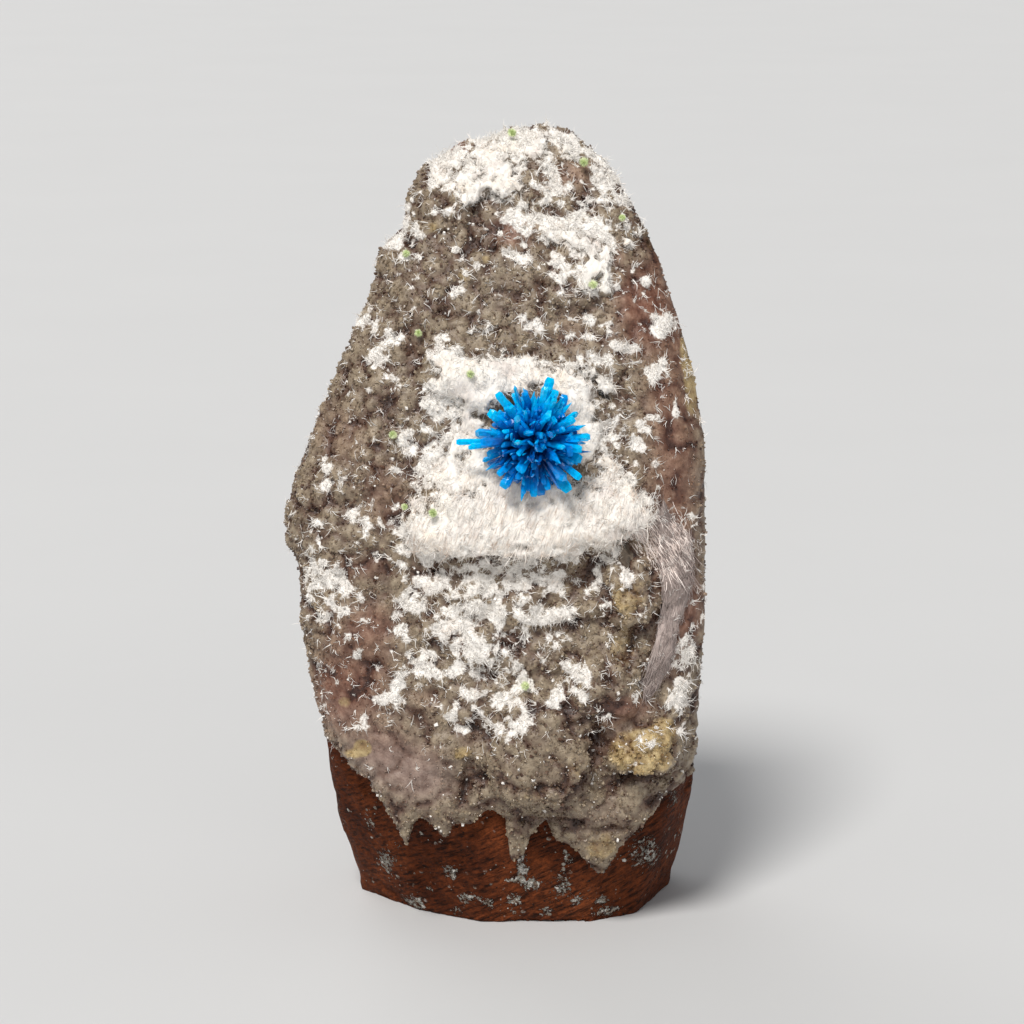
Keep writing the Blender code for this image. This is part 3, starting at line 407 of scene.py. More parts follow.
class Look:
    """A material under construction: a Principled shader and the nodes that feed it."""

    def __init__(self, name, **values):
        self.material = bpy.data.materials.new(name)
        self.material.use_nodes = True
        self.tree = self.material.node_tree
        self.shader = self.tree.nodes["Principled BSDF"]
        for socket, value in values.items():
            self.shader.inputs[socket.replace("_", " ")].default_value = value
        self.place = self.node("ShaderNodeTexCoord").outputs["Object"]

    def node(self, kind, **settings):
        made = self.tree.nodes.new(kind)
        for name, value in settings.items():
            setattr(made, name, value)
        return made

    def put(self, socket, value):
        """Gives an input a number, a colour or the output of another node."""
        if isinstance(value, (int, float)):
            socket.default_value = value
        elif isinstance(value, tuple):
            socket.default_value = (*value, 1)
        else:
            self.tree.links.new(value, socket)

    def feed(self, socket, source):
        self.put(self.shader.inputs[socket], source)

    def stretched(self, scale, turn):
        """The place, turned by angles in degrees and then stretched."""
        mapping = self.node("ShaderNodeMapping", vector_type="TEXTURE")
        mapping.inputs["Rotation"].default_value = [math.radians(a) for a in turn]
        mapping.inputs["Scale"].default_value = [1 / s for s in scale]
        self.put(mapping.inputs["Vector"], self.place)
        return mapping.outputs["Vector"]

    def texture(self, kind, output, size, place, **values):
        made = self.node("ShaderNodeTex" + kind)
        for name, value in (("Scale", 1 / (size * MM)), ("Vector", place), *values.items()):
            self.put(made.inputs[name], value)
        return made.outputs[output]

    def noise(self, size, detail=4.0, roughness=0.55, place=None):
        """Cloudy noise with features of about this many millimetres."""
        return self.texture("Noise", "Fac", size, place or self.place, Detail=detail, Roughness=roughness)

    def cells(self, size):
        """Distance from the nearest of many scattered points, about this many millimetres apart."""
        return self.texture("Voronoi", "Distance", size, self.place)

    def ramp(self, source, *stops):
        made = self.node("ShaderNodeValToRGB")
        elements = made.color_ramp.elements
        while len(elements) < len(stops):
            elements.new(0.5)
        for element, (position, colour) in zip(elements, stops):
            element.position = position
            element.color = (*colour, 1) if isinstance(colour, tuple) else (colour, colour, colour, 1)
        self.put(made.inputs["Fac"], source)
        return made.outputs["Color"]

    def mix(self, share, low, high, blend="MIX"):
        """Mixes two colours, each a fixed one or the output of a node."""
        made = self.node("ShaderNodeMix", data_type="RGBA", blend_type=blend)
        for name, value in (("Factor", share), ("A", low), ("B", high)):
            self.put(next(s for s in made.inputs if s.name == name and s.enabled), value)
        return next(s for s in made.outputs if s.enabled)

    def tinted(self, colour, tint):
        return self.mix(1.0, colour, tint, "MULTIPLY")

    def times(self, first, second):
        return self.sum(first, second, "MULTIPLY")

    def sum(self, first, second, operation="ADD"):
        made = self.node("ShaderNodeMath", operation=operation)
        self.put(made.inputs[0], first)
        self.put(made.inputs[1], second)
        return made.outputs[0]

    def cover(self):
        """The painted shares at each point: white, red, yellow, and how far it stands out."""
        made = self.node("ShaderNodeAttribute", attribute_name="cover")
        parts = self.node("ShaderNodeSeparateColor")
        self.put(parts.inputs["Color"], made.outputs["Color"])
        return (*parts.outputs, made.outputs["Alpha"])

    def bump(self, height, depth, strength=1.0):
        """Fine relief from a height, with its depth in millimetres."""
        made = self.node("ShaderNodeBump")
        for name, value in (("Strength", strength), ("Distance", depth * MM), ("Height", height)):
            self.put(made.inputs[name], value)
        self.feed("Normal", made.outputs["Normal"])


def druse_look(name, roughness, painted_top_light):
    """Brown-grey zeolite crystals, red-brown where thin, tan or yellow on some lumps, with painted shade in
    the hollows between lumps and painted light on their tops.
    """
    look = Look(name, IOR=1.5)
    white, red, yellow, height = look.cover()
    tone = look.noise(0.8, detail=6, roughness=0.65)
    # Darker where the crust lies low among its lumps and lighter where it stands high: painted shade and
    # painted light.
    low = look.ramp(tone, (0.32, (0.068, 0.032, 0.021)), (0.68, (0.19, 0.12, 0.088)))
    high = look.ramp(tone, (0.32, (0.12, 0.086, 0.056)), (0.68, (0.3, 0.24, 0.168)))
    base = look.mix(look.ramp(height, (0.25, 0.0), (0.85, 1.0)), low, high)
    rust = look.ramp(tone, (0.32, (0.085, 0.028, 0.015)), (0.5, (0.165, 0.066, 0.04)),
                     (0.7, (0.27, 0.15, 0.105)))
    mauve = look.ramp(tone, (0.32, (0.155, 0.098, 0.078)), (0.68, (0.305, 0.222, 0.186)))
    rise = look.node("ShaderNodeSeparateXYZ")
    look.put(rise.inputs[0], look.place)
    foot = look.ramp(look.times(rise.outputs["Z"], 10.0), (0.2, 1.0), (0.28, 0.0))
    colour = look.mix(red, base, look.mix(foot, rust, mauve))
    amber = look.ramp(tone, (0.32, (0.25, 0.165, 0.072)), (0.68, (0.5, 0.385, 0.195)))
    ragged = look.sum(look.times(yellow, 0.8), look.times(look.noise(0.9), 0.35))
    colour = look.mix(look.ramp(ragged, (0.42, 0.0), (0.62, 0.95)), colour, amber)
    # Painted shade deep in the hollows and painted light on the highest tops.
    hollow_shade_and_top_light = look.ramp(height, (0.0, (0.26, 0.18, 0.15)), (0.3, (0.76, 0.68, 0.63)), (0.62, 1.0),
                       (1.0, painted_top_light))
    colour = look.tinted(colour, hollow_shade_and_top_light)
    fringe = look.sum(white, look.times(look.noise(0.3, detail=4), 0.9))
    # The fibre's darker noise is painted shade between its fibres.
    felt = look.ramp(look.noise(0.35, detail=4), (0.28, (0.5, 0.46, 0.41)), (0.5, (0.88, 0.84, 0.79)))
    colour = look.mix(look.ramp(fringe, (0.74, 0.0), (1.0, 1.0)), colour, felt)
    look.feed("Base Color", colour)
    look.feed("Roughness", look.ramp(look.noise(0.5), (0.35, roughness - 0.1), (0.65, roughness + 0.15)))
    look.bump(look.noise(0.22, detail=3), 0.12, 0.8)
    return look.material


def mordenite_look(name, tints, fineness, streak, turn):
    """Felted fibre, with painted shade between its strands. The tints are its three drifting colours, and
    its streaks lean by the turn.
    """
    look = Look(name, Roughness=0.85, IOR=1.45, Sheen_Weight=0.2, Sheen_Roughness=0.5)
    kept, *_ = look.cover()
    drift = look.ramp(look.noise(3.2, detail=4), *zip((0.32, 0.5, 0.7), tints))
    strand = look.noise(fineness, detail=5, place=look.stretched((1.0, 0.5, streak), (0, turn, 0)))
    # The felt darkens along the grooves between its strands: painted shade.
    colour = look.tinted(drift, look.ramp(strand, (0.3, 0.7), (0.58, 1.0)))
    druse = look.ramp(look.noise(0.8, detail=6, roughness=0.65), (0.32, (0.1, 0.066, 0.046)),
                      (0.68, (0.29, 0.235, 0.175)))
    thick = look.sum(kept, look.times(look.noise(0.5, detail=4), 0.6))
    look.feed("Base Color", look.mix(look.ramp(thick, (0.85, 0.0), (1.0, 1.0)), druse, colour))
    look.bump(strand, 0.2, 0.8)
    return look.material


WHITE_FELT = ((0.8, 0.72, 0.66), (0.94, 0.9, 0.84), (0.9, 0.79, 0.68))
PINK_SILK = ((0.18, 0.14, 0.125), (0.32, 0.26, 0.235), (0.56, 0.46, 0.42))
WHITE_FIBRE = ((0.76, 0.73, 0.69), (0.88, 0.85, 0.81), (0.85, 0.76, 0.68))
CREAM_FIBRE = ((0.68, 0.56, 0.47), (0.95, 0.91, 0.85), (0.94, 0.81, 0.7))
PINK_FIBRE = ((0.24, 0.19, 0.175), (0.4, 0.325, 0.3), (0.58, 0.49, 0.45))
ARCH_FIBRE = ((0.8, 0.67, 0.61), (0.92, 0.82, 0.76), (0.95, 0.88, 0.83))


def fibre_look(name, tints):
    """Loose fibre, in three drifting tints."""
    look = Look(name, Roughness=0.5, IOR=1.47)
    look.feed("Base Color", look.ramp(look.noise(2.0, detail=3), *zip((0.35, 0.55, 0.72), tints)))
    return look.material


def basalt_look():
    """Red-brown altered basalt, with saw marks on the foot and pale and teal fillings of old bubbles."""
    look = Look("basalt_stone", IOR=1.5, Specular_IOR_Level=0.12)
    filled, sawn, *_ = look.cover()
    cloud = look.noise(7.0, detail=8)
    colour = look.ramp(cloud, (0.3, (0.046, 0.01, 0.003)), (0.5, (0.1, 0.024, 0.007)),
                       (0.72, (0.165, 0.043, 0.013)))
    grain = look.noise(0.45, detail=5, roughness=0.65)
    colour = look.tinted(colour, look.ramp(grain, (0.3, 0.45), (0.62, 1.25)))
    sawing = look.stretched((0.2, 0.3, 1.0), (0, -SAW_TILT, 0))
    marks = look.noise(0.36, detail=5, roughness=0.65, place=sawing)
    marked = look.ramp(marks, (0.38, 0.26), (0.46, 0.85), (0.62, 1.5))
    crumbs = look.noise(1.7, detail=6, roughness=0.7)
    crumbled = look.ramp(crumbs, (0.38, (0.5, 0.55, 0.6)), (0.5, 1.0), (0.62, (1.5, 1.6, 1.8)))
    colour = look.tinted(colour, look.mix(sawn, crumbled, marked))
    patchy = look.ramp(look.noise(4.2, detail=3), (0.5, 0.0), (0.6, 1.0))
    bubble = look.ramp(look.sum(look.cells(1.5), look.times(look.noise(0.5), 0.35)),
                       (0.3, 1.0), (0.36, 0.0))
    fringe = look.sum(look.times(filled, 0.25), look.noise(0.48, detail=7, roughness=0.8))
    inside = look.ramp(fringe, (0.67, 0.0), (0.69, 1.0))
    rim = look.ramp(fringe, (0.6, 1.0), (0.67, 0.25))
    colour = look.tinted(colour, rim)
    share = look.sum(look.times(bubble, patchy), inside, "MAXIMUM")
    filling = look.ramp(look.noise(0.6, detail=7, roughness=0.8), (0.42, (0.1, 0.055, 0.035)),
                        (0.48, (0.44, 0.35, 0.28)), (0.51, (0.14, 0.23, 0.22)), (0.54, (0.5, 0.45, 0.4)),
                        (0.6, (0.8, 0.77, 0.72)))
    dots = look.times(look.ramp(look.cells(0.75), (0.1, 1.0), (0.14, 0.0)), patchy)
    share = look.sum(share, dots, "MAXIMUM")
    colour = look.mix(share, colour, filling)
    speck = look.ramp(look.cells(1.25), (0.075, 1.0), (0.11, 0.0))
    colour = look.mix(speck, colour, (0.008, 0.006, 0.006))
    look.feed("Base Color", colour)
    look.feed("Roughness", look.ramp(grain, (0.3, 0.62), (0.7, 0.86)))
    lines = look.times(look.times(marks, sawn), 1.2)
    height = look.sum(look.sum(lines, look.times(crumbs, 0.9)), look.times(grain, 0.6))
    look.bump(look.sum(height, look.times(share, 0.3)), 0.45, 1.0)
    return look.material


def pentagonite_look(middle):
    """Glassy blue: navy towards the heart of the group, painted shade deep among the crystals, azure towards
    the tips, with crystals that differ.
    """
    look = Look("pentagonite_blue", IOR=1.54, Roughness=0.09, Specular_IOR_Level=0.04,
                Transmission_Weight=0.1)
    distance = look.node("ShaderNodeVectorMath", operation="DISTANCE")
    distance.inputs[1].default_value = [c * MM for c in middle]
    look.put(distance.inputs[0], look.place)
    tone, *_ = look.cover()
    # Darker the nearer the middle: painted shade deep among the crystals.
    far = look.sum(look.times(distance.outputs["Value"], 120.0), look.times(tone, 0.34))
    colour = look.ramp(far, (0.38, (0.0, 0.02, 0.115)), (0.54, (0.0, 0.1, 0.41)),
                       (0.72, (0.0, 0.27, 0.76)), (0.95, (0.0, 0.52, 0.95)))
    streak = look.noise(0.35, detail=4)
    colour = look.tinted(colour, look.ramp(streak, (0.3, 0.72), (0.65, 1.15)))
    look.feed("Base Color", colour)
    look.bump(streak, 0.05, 0.5)
    return look.material


def green_look():
    """Pale green, like the tiny balls of crystals in the photograph."""
    look = Look("green_crystals", Roughness=0.45, IOR=1.5)
    tint = look.ramp(look.noise(0.7), (0.35, (0.5, 0.62, 0.25)), (0.65, (0.82, 0.87, 0.58)))
    look.feed("Base Color", tint)
    return look.material


def floor_look():
    """Plain pale grey."""
    look = Look("pale_floor", Roughness=0.75)
    look.feed("Base Color", look.ramp(look.noise(60.0), (0.3, 0.615), (0.7, 0.625)))
    return look.material


# The crust and what grows on it


def crust_relief(points):
    """How far the crust's lumps push each point out, and how high it stands among them, from 0 to 1."""
    relief = sum(height * lumps_at(points, size, size) for size, height in CRUST_LUMPS)
    low, high = np.percentile(relief, [3, 99])
    stands = np.clip((relief - low) / (high - low), 0, 1)
    relief = relief - np.percentile(relief, 60) + CRUST_SWELL[1] * noise_at(points, CRUST_SWELL[0], 1.0)
    relief *= 1 - 0.75 * smoothstep(15.5, 19.5, points[:, 0]) * smoothstep(22.0, 30.0, points[:, 2])
    relief *= 1 - 0.65 * smoothstep(17.5, 13.5, points[:, 2])
    gaps = strength(points, GAPS, wander=0.3)
    # The gaps also lower how high a point stands, which paints shade into them.
    return relief - 0.9 * gaps, stands * (1 - 0.85 * gaps)


def crust_surface():
    """The druse: the CAD crust with rounded lumps all over its outer side."""
    rock = node_tree("basalt_matrix")

    def longest(places):
        return np.where(distances(rock, places) > 0.75, CRUST_EDGE_LENGTH, 1.6)

    points, triangles = refined(*node_mesh("druse_crust"), longest)
    points = relaxed(points, triangles, 5)
    away = distances(rock, points)
    outer = smoothstep(0.7, 1.3, away)
    red = strength(points, RED_PATCHES)
    yellow = strength(points, YELLOW_PATCHES)
    relief, stands = crust_relief(points)
    points = points + outward(points, triangles) * (relief * outer * (1 - 0.6 * red))[:, None]
    points[:, 1] += 0.55 * (1 - smoothstep(0.5, 0.8, away))
    points[:, 0] = np.clip(points[:, 0], -SIDE_LIMIT, SIDE_LIMIT)
    return points, triangles, outer, red, yellow, stands


def white_field(points):
    """How likely a tuft of white fibre is at each point, from 0 to 1."""
    field = strength(points, WHITE_PATCHES, wander=0.8)
    gaps = noise_at(points, 1.2, 35.0) + 0.6 * noise_at(points, 0.5, 36.0)
    return np.clip(field * (0.85 + 1.0 * gaps), 0, 1)


def whitened(points, feet, sizes):
    """The white share at each point from the tufts that stand near it."""
    places = KDTree(len(points))
    for i, point in enumerate(points):
        places.insert(point, i)
    places.balance()
    total = np.zeros(len(points))
    for foot, size in zip(feet, sizes):
        near = places.find_range(foot, 2.1 * TUFT_WIDTH * size)
        for _, i, far in near:
            total[i] += math.exp(-((far / (TUFT_WIDTH * size)) ** 2))
    return 1 - np.exp(-0.9 * total)


def scattered(points, triangles, density, count, rng):
    """Random places on the surface, more of them where the density at its points is high."""
    a, b, c = (points[triangles[:, k]] for k in range(3))
    area = np.linalg.norm(np.cross(b - a, c - a), axis=1) / 2
    share = area * density[triangles].mean(axis=1)
    chosen = rng.choice(len(triangles), count, p=share / share.sum())
    u, v = rng.random((2, count))
    flip = u + v > 1
    u[flip], v[flip] = 1 - u[flip], 1 - v[flip]
    weights = np.stack([1 - u - v, u, v], axis=1)
    return chosen, weights


def carried(values, triangles, chosen, weights):
    """Values given at the surface's points, read at the scattered places."""
    return (values[triangles[chosen]] * weights[:, :, None]).sum(axis=1)


def unit(vectors):
    return vectors / np.maximum(np.linalg.norm(vectors, axis=1), 1e-9)[:, None]


def across(directions, rng):
    """Two directions at right angles to each direction and to each other, turned at random."""
    side = unit(np.cross(directions, rng.normal(size=directions.shape)))
    return side, np.cross(directions, side)


def joined(corners, faces):
    """Points and triangles of many copies, from the corners of each and the triangles of one."""
    copies, size, _ = corners.shape
    start = (np.arange(copies) * size)[:, None, None]
    return corners.reshape(-1, 3), (np.array(faces)[None] + start).reshape(-1, 3)


BLOCK = ((4, 5, 6), (4, 6, 7), (0, 1, 5), (0, 5, 4), (1, 2, 6), (1, 6, 5), (2, 3, 7), (2, 7, 6),
         (3, 0, 4), (3, 4, 7))


def blocks(places, directions, width, height, rng):
    """Blocky crystals with a smaller, slanting top."""
    side, other = across(directions, rng)
    lean = rng.uniform(-0.25, 0.25, (2, len(places)))
    squash = rng.uniform(0.55, 1.0, len(places))
    corners = []
    for top in (False, True):
        for i, j in ((-1, -1), (1, -1), (1, 1), (-1, 1)):
            size = 0.5 * width * (0.66 if top else 1.0)
            corner = places + side * (i * size)[:, None] + other * (j * size * squash)[:, None]
            if top:
                rise = height * (1 + 0.5 * i * lean[0] + 0.5 * j * lean[1])
                corner = corner + directions * rise[:, None]
            else:
                corner = corner - directions * (0.35 * width)[:, None]
            corners.append(corner)
    return joined(np.stack(corners, axis=1), BLOCK)


def druse_crystals(name, points, triangles, normals, cover, outer, look, rng):
    """Tiny crystals that stand on the crust, packed close, fewer where it is white or red, and a few painted
    white as glints.
    """
    count, narrow, wide = CRUST_CRYSTALS[name]
    density = outer * (1.0 - 0.8 * cover[:, 0]) * (1 - 0.6 * cover[:, 1]) + 1e-6
    density *= 1 - 0.7 * smoothstep(17.0, 20.5, points[:, 0])
    chosen, weights = scattered(points, triangles, density, count, rng)
    places = carried(points, triangles, chosen, weights)
    facing = unit(carried(normals, triangles, chosen, weights))
    shades = carried(cover, triangles, chosen, weights)
    directions = unit(facing + rng.normal(scale=0.42, size=facing.shape))
    small = 1 - 0.4 * shades[:, 1]
    width = rng.uniform(narrow, wide, count) * small
    height = width * rng.uniform(0.3, 0.85, count)
    shades[:, 3] = np.clip(shades[:, 3] + rng.normal(scale=0.24, size=count), 0, 1)
    # A few crystals painted white: painted glints.
    painted_glints = rng.random(count) < 0.02
    shades[:, 0] = np.where(painted_glints, 0.9, shades[:, 0])
    made = blocks(places, directions, width, height, rng)
    mesh_object(name, *made, look, "druse", False, np.repeat(shades, 8, axis=0))


SPIKE = ((0, 1, 3), (1, 2, 3), (2, 0, 3))
BENT_SPIKE = ((0, 1, 4), (0, 4, 3), (1, 2, 5), (1, 5, 4), (2, 0, 3), (2, 3, 5), (3, 4, 6), (4, 5, 6),
              (5, 3, 6))


def ring(centres, sides, radius):
    """Three corners around each centre."""
    turns = [turn * math.tau / 3 for turn in range(3)]
    return [centres + (sides[0] * math.cos(a) + sides[1] * math.sin(a)) * radius[:, None] for a in turns]


def needles(places, directions, length, radius, rng):
    """Straight needles: thin pyramids on three-sided feet."""
    corners = ring(places, across(directions, rng), radius)
    corners.append(places + directions * length[:, None])
    return joined(np.stack(corners, axis=1), SPIKE)


def curled(places, directions, bend, length, radius, rng):
    """Needles with a bend halfway: the outer half turns by the bend, a vector."""
    sides = across(directions, rng)
    middle = places + directions * (0.5 * length)[:, None]
    tip = middle + unit(directions + bend) * (0.5 * length)[:, None]
    corners = ring(places, sides, radius) + ring(middle, sides, radius * 0.8) + [tip]
    return joined(np.stack(corners, axis=1), BENT_SPIKE)


def grow_fibres(name, tufts, look, rng):
    """Needles that fan out from each tuft, given as feet, normals and sizes."""
    per_tuft, length, radius, low, fan, bent = FIBRES[name]
    feet, facing, size = (np.repeat(a, per_tuft, axis=0) for a in tufts)
    along, _ = across(tufts[1], rng)
    stand = 1 - low * rng.uniform(0.6, 1.0, len(along))[:, None]
    axis = np.repeat(unit(tufts[1] * stand + along * low), per_tuft, axis=0)
    count = len(feet)
    directions = unit(axis + rng.normal(scale=fan, size=axis.shape))
    under = (directions * facing).sum(axis=1)
    directions = unit(directions + facing * np.maximum(0.0, 0.1 - under)[:, None] * 1.6)
    long = size * length * rng.uniform(0.35, 1.35, count)
    sideways = directions[:, 0] * np.sign(feet[:, 0])
    room = (SIDE_LIMIT - np.abs(feet[:, 0])) / np.maximum(sideways, 0.05)
    long = np.minimum(long, np.clip(room, 0.25, LONGEST_NEEDLE))
    thick = radius * rng.uniform(0.7, 1.3, count)
    feet = feet + rng.normal(scale=0.09, size=feet.shape) - facing * 0.06
    if bent:
        bend = rng.normal(scale=0.55, size=feet.shape) - facing * 0.25
        points, triangles = curled(feet, directions, bend, long, thick, rng)
    else:
        points, triangles = needles(feet, directions, long, thick, rng)
    points[:, 0] = np.clip(points[:, 0], -SIDE_LIMIT - 0.2, SIDE_LIMIT + 0.2)
    mesh_object(name, points, triangles, look, "mordenite", False)


def tufts_on(points, triangles, normals, density, count, rng):
    """Feet, normals and sizes of tufts, more of them where the density at the points is high."""
    chosen, weights = scattered(points, triangles, density + 1e-9, count, rng)
    feet = carried(points, triangles, chosen, weights)
    facing = unit(carried(normals, triangles, chosen, weights))
    return feet, facing, np.minimum(rng.lognormal(0.0, 0.32, count), 1.9)


def combed(name, surface, density, look, rng):
    """Strands that lie along a surface side by side."""
    count, lean, length, radius = COMBED[name]
    feet, facing, size = tufts_on(*surface, density, count, rng)
    way = np.stack([np.interp(feet[:, 2], *zip(*lean)), np.zeros(count), np.ones(count)], axis=1)
    way = way * rng.choice([-1.0, 1.0], count)[:, None] + rng.normal(scale=0.15, size=way.shape)
    way = unit(way - facing * (way * facing).sum(axis=1)[:, None])
    way = unit(way + facing * rng.uniform(0.0, 0.12, count)[:, None])
    bend = rng.normal(scale=0.18, size=way.shape) - facing * 0.3
    long = size * length * rng.uniform(0.5, 1.3, count)
    made = curled(feet, way, bend, long, radius * rng.uniform(0.7, 1.3, count), rng)
    mesh_object(name, *made, look, "mordenite", False)


def mat_surface(name, crust_tree, look):
    """A mat of felted fibre: lumpy, and sunk into the crust where the patches are thin."""
    points, triangles = node_mesh(name)
    points, triangles = refined(points, triangles, lambda places: np.full(len(places), MAT_EDGE_LENGTH))
    points = relaxed(points, triangles, 4)
    silk = name == SILK_MAT
    white = strength(points, WHITE_PATCHES, wander=0.8)
    if silk:
        white = np.maximum(white, 0.75)
    thin = name in THIN_MATS
    skirt = 0.9 * smoothstep(44.4, 42.6, points[:, 2]) if name == "mordenite_bed" else 0.0
    ragged = white + (0.5 if thin else 0.3) * noise_at(points, 1.5, 5.0) - (0.22 if thin else skirt)
    ragged += (0.36 if thin else 0.2) * noise_at(points, 0.6, 6.0)
    kept = smoothstep(0.35, 0.75, ragged)
    normals = outward(points, triangles)
    nearest = [crust_tree.find_nearest(Vector(p)) for p in points]
    inwards = -np.array([tuple(hit[1]) for hit in nearest])
    away = np.array([hit[3] for hit in nearest])
    lumps = 0.22 * (lumps_at(points, 1.2, 8.0) - 0.6)
    lumps += (0.25 if thin else 0.6) * (lumps_at(points, 2.8, 7.0) - 0.6)
    lumps += 0.1 * noise_at(points, 0.6, 8.0)
    if silk:
        lumps = 0.16 * noise_at(points * np.array([1.0, 1.0, 0.22]), 0.55, 9.0)
    points = points + inwards * ((1 - kept) * (away + 0.6))[:, None]
    points = points + normals * (lumps * kept)[:, None]
    shares = np.repeat(np.maximum(kept, 1.0 if silk else 0.0)[:, None], 4, axis=1)
    piece = mesh_object(name + "_felt", points, triangles, look, "mordenite", True, shares)
    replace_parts(piece, name)
    grown = smoothstep(0.1, 0.7, kept) * (0.15 if silk else 1.0)
    return points, triangles, outward(points, triangles), grown


def stacked(*surfaces):
    """Several surfaces as one, with the values at their points."""
    starts = np.cumsum([0] + [len(s[0]) for s in surfaces[:-1]])
    points, _, normals, values = (np.concatenate([s[k] for s in surfaces]) for k in range(4))
    return points, np.concatenate([s[1] + start for s, start in zip(surfaces, starts)]), normals, values


def druse(rng):
    """The crust and its crystals. Returns the crust's surface and the tufts of fibre that stand on it."""
    points, triangles, outer, red, yellow, stands = crust_surface()
    normals = outward(points, triangles)
    bare = outer * (0.4 + 0.6 * smoothstep(-0.1, 0.4, noise_at(points, 4.0, 10.0)))
    bare *= smoothstep(16.0, 30.0, points[:, 2])
    dense = tufts_on(points, triangles, normals, outer * white_field(points) ** 1.6, TUFTS, rng)
    lone = tufts_on(points, triangles, normals, bare, LONE_TUFTS, rng)
    white = whitened(points, *dense[::2])
    white = np.maximum(white, whitened(points, lone[0], 0.7 * lone[2]))
    points = points + normals * (0.16 * white * outer)[:, None]
    rim = 0.4 * (1 - outer) * smoothstep(22.0, 18.0, points[:, 2])
    # The last share, how high each point stands, paints shade in the hollows and light on the tops.
    covers = (np.maximum(white, rim), red * (1 - 0.7 * white), yellow * (1 - 0.8 * white), stands)
    cover = np.stack(covers, axis=1)
    look = druse_look("druse", 0.42, 1.3)
    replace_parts(mesh_object("druse_surface", points, triangles, look, "druse", True, cover), "druse_crust")
    glassy = druse_look("druse_crystals", 0.24, 1.35)
    for name in CRUST_CRYSTALS:
        druse_crystals(name, points, triangles, normals, cover, outer, glassy, rng)
    return (points, triangles, normals), outer, bare, dense, lone


def loose_fibres(surface, bare, dense, lone, look, rng):
    """Tufts where the crust is white, and sprays and stray needles on the rest of it."""
    half = TUFTS // 2
    grow_fibres("mordenite_flakes", [a[:half] for a in dense], look, rng)
    grow_fibres("mordenite_feathers", [a[half:] for a in dense], look, rng)
    grow_fibres("mordenite_sprays", lone, look, rng)
    grow_fibres("mordenite_strays", tufts_on(*surface, bare, STRAYS, rng), look, rng)


def felted_mats(surface, look, rng):
    """The mats, with fine fibre and curls all over them. Returns their surfaces."""
    tree = BVHTree.FromPolygons(surface[0].tolist(), surface[1].tolist())
    felt = mordenite_look("mordenite_felt", WHITE_FELT, 0.45, 0.35, 25)
    silk = mordenite_look("mordenite_silk", PINK_SILK, 0.2, 0.1, 8)
    mats = {name: mat_surface(name, tree, silk if name == SILK_MAT else felt) for name in MATS}
    *on_mats, grown = stacked(*mats.values())
    for name, count in MAT_TUFTS:
        grow_fibres(name, tufts_on(*on_mats, grown, count, rng), look, rng)
    return mats


def combed_fibres(surface, outer, mats, rng):
    """Combed fibre on the ledge, on the band at the right, and on the arch above the band."""
    *ledge, grown = mats["mordenite_bed"]
    cream = fibre_look("mordenite_combed", CREAM_FIBRE)
    combed("mordenite_ledge_strands", ledge, grown * (ledge[0][:, 2] < LEDGE_TOP), cream, rng)
    *band, grown = mats[SILK_MAT]
    combed("mordenite_band_strands", band, grown + 1, fibre_look("mordenite_pink", PINK_FIBRE), rng)
    *arch, there = stacked((*surface, outer), (*band, np.ones(len(grown))))
    there = there * strength(arch[0], SILK_PATCHES)
    combed("mordenite_arch_strands", arch, there, fibre_look("mordenite_arch", ARCH_FIBRE), rng)


def crust_and_fibres():
    """The druse and all that grows on it. They share one chain of random draws, so their order matters."""
    rng = np.random.default_rng(21)
    surface, outer, bare, dense, lone = druse(rng)
    look = fibre_look("mordenite_needles", WHITE_FIBRE)
    loose_fibres(surface, bare, dense, lone, look, rng)
    mats = felted_mats(surface, look, rng)
    combed_fibres(surface, outer, mats, rng)


# The basalt


def basalt_relief(points, normals, sawn):
    """Broken lumps behind, and saw marks and small pits on the foot."""
    broken = 0.7 * noise_at(points, 7.0, 12.0) + 1.3 * (0.25 - np.abs(noise_at(points, 4.2, 19.0)))
    broken += 0.8 * (0.25 - np.abs(noise_at(points, 1.9, 13.0))) + 0.3 * noise_at(points, 0.9, 14.0)
    broken *= 1 - 0.85 * smoothstep(24.0, 14.0, points[:, 2])
    tilt = math.radians(SAW_TILT)
    along = points[:, 0] * math.sin(tilt) - points[:, 2] * math.cos(tilt)
    frontal = smoothstep(-0.45, -0.85, normals[:, 1])
    ridges = 0.04 * np.sin(along * 5.2 + 2.2 * noise_at(points, 5.0, 15.0)) * frontal
    ridges += 0.08 * noise_at(points, 0.9, 16.0)
    pits = 0.3 * smoothstep(0.3, 0.75, lumps_at(points, 2.6, 17.0))
    pits *= smoothstep(0.05, 0.35, noise_at(points, 5.0, 18.0))
    return broken * (1 - sawn) + (ridges - pits) * sawn


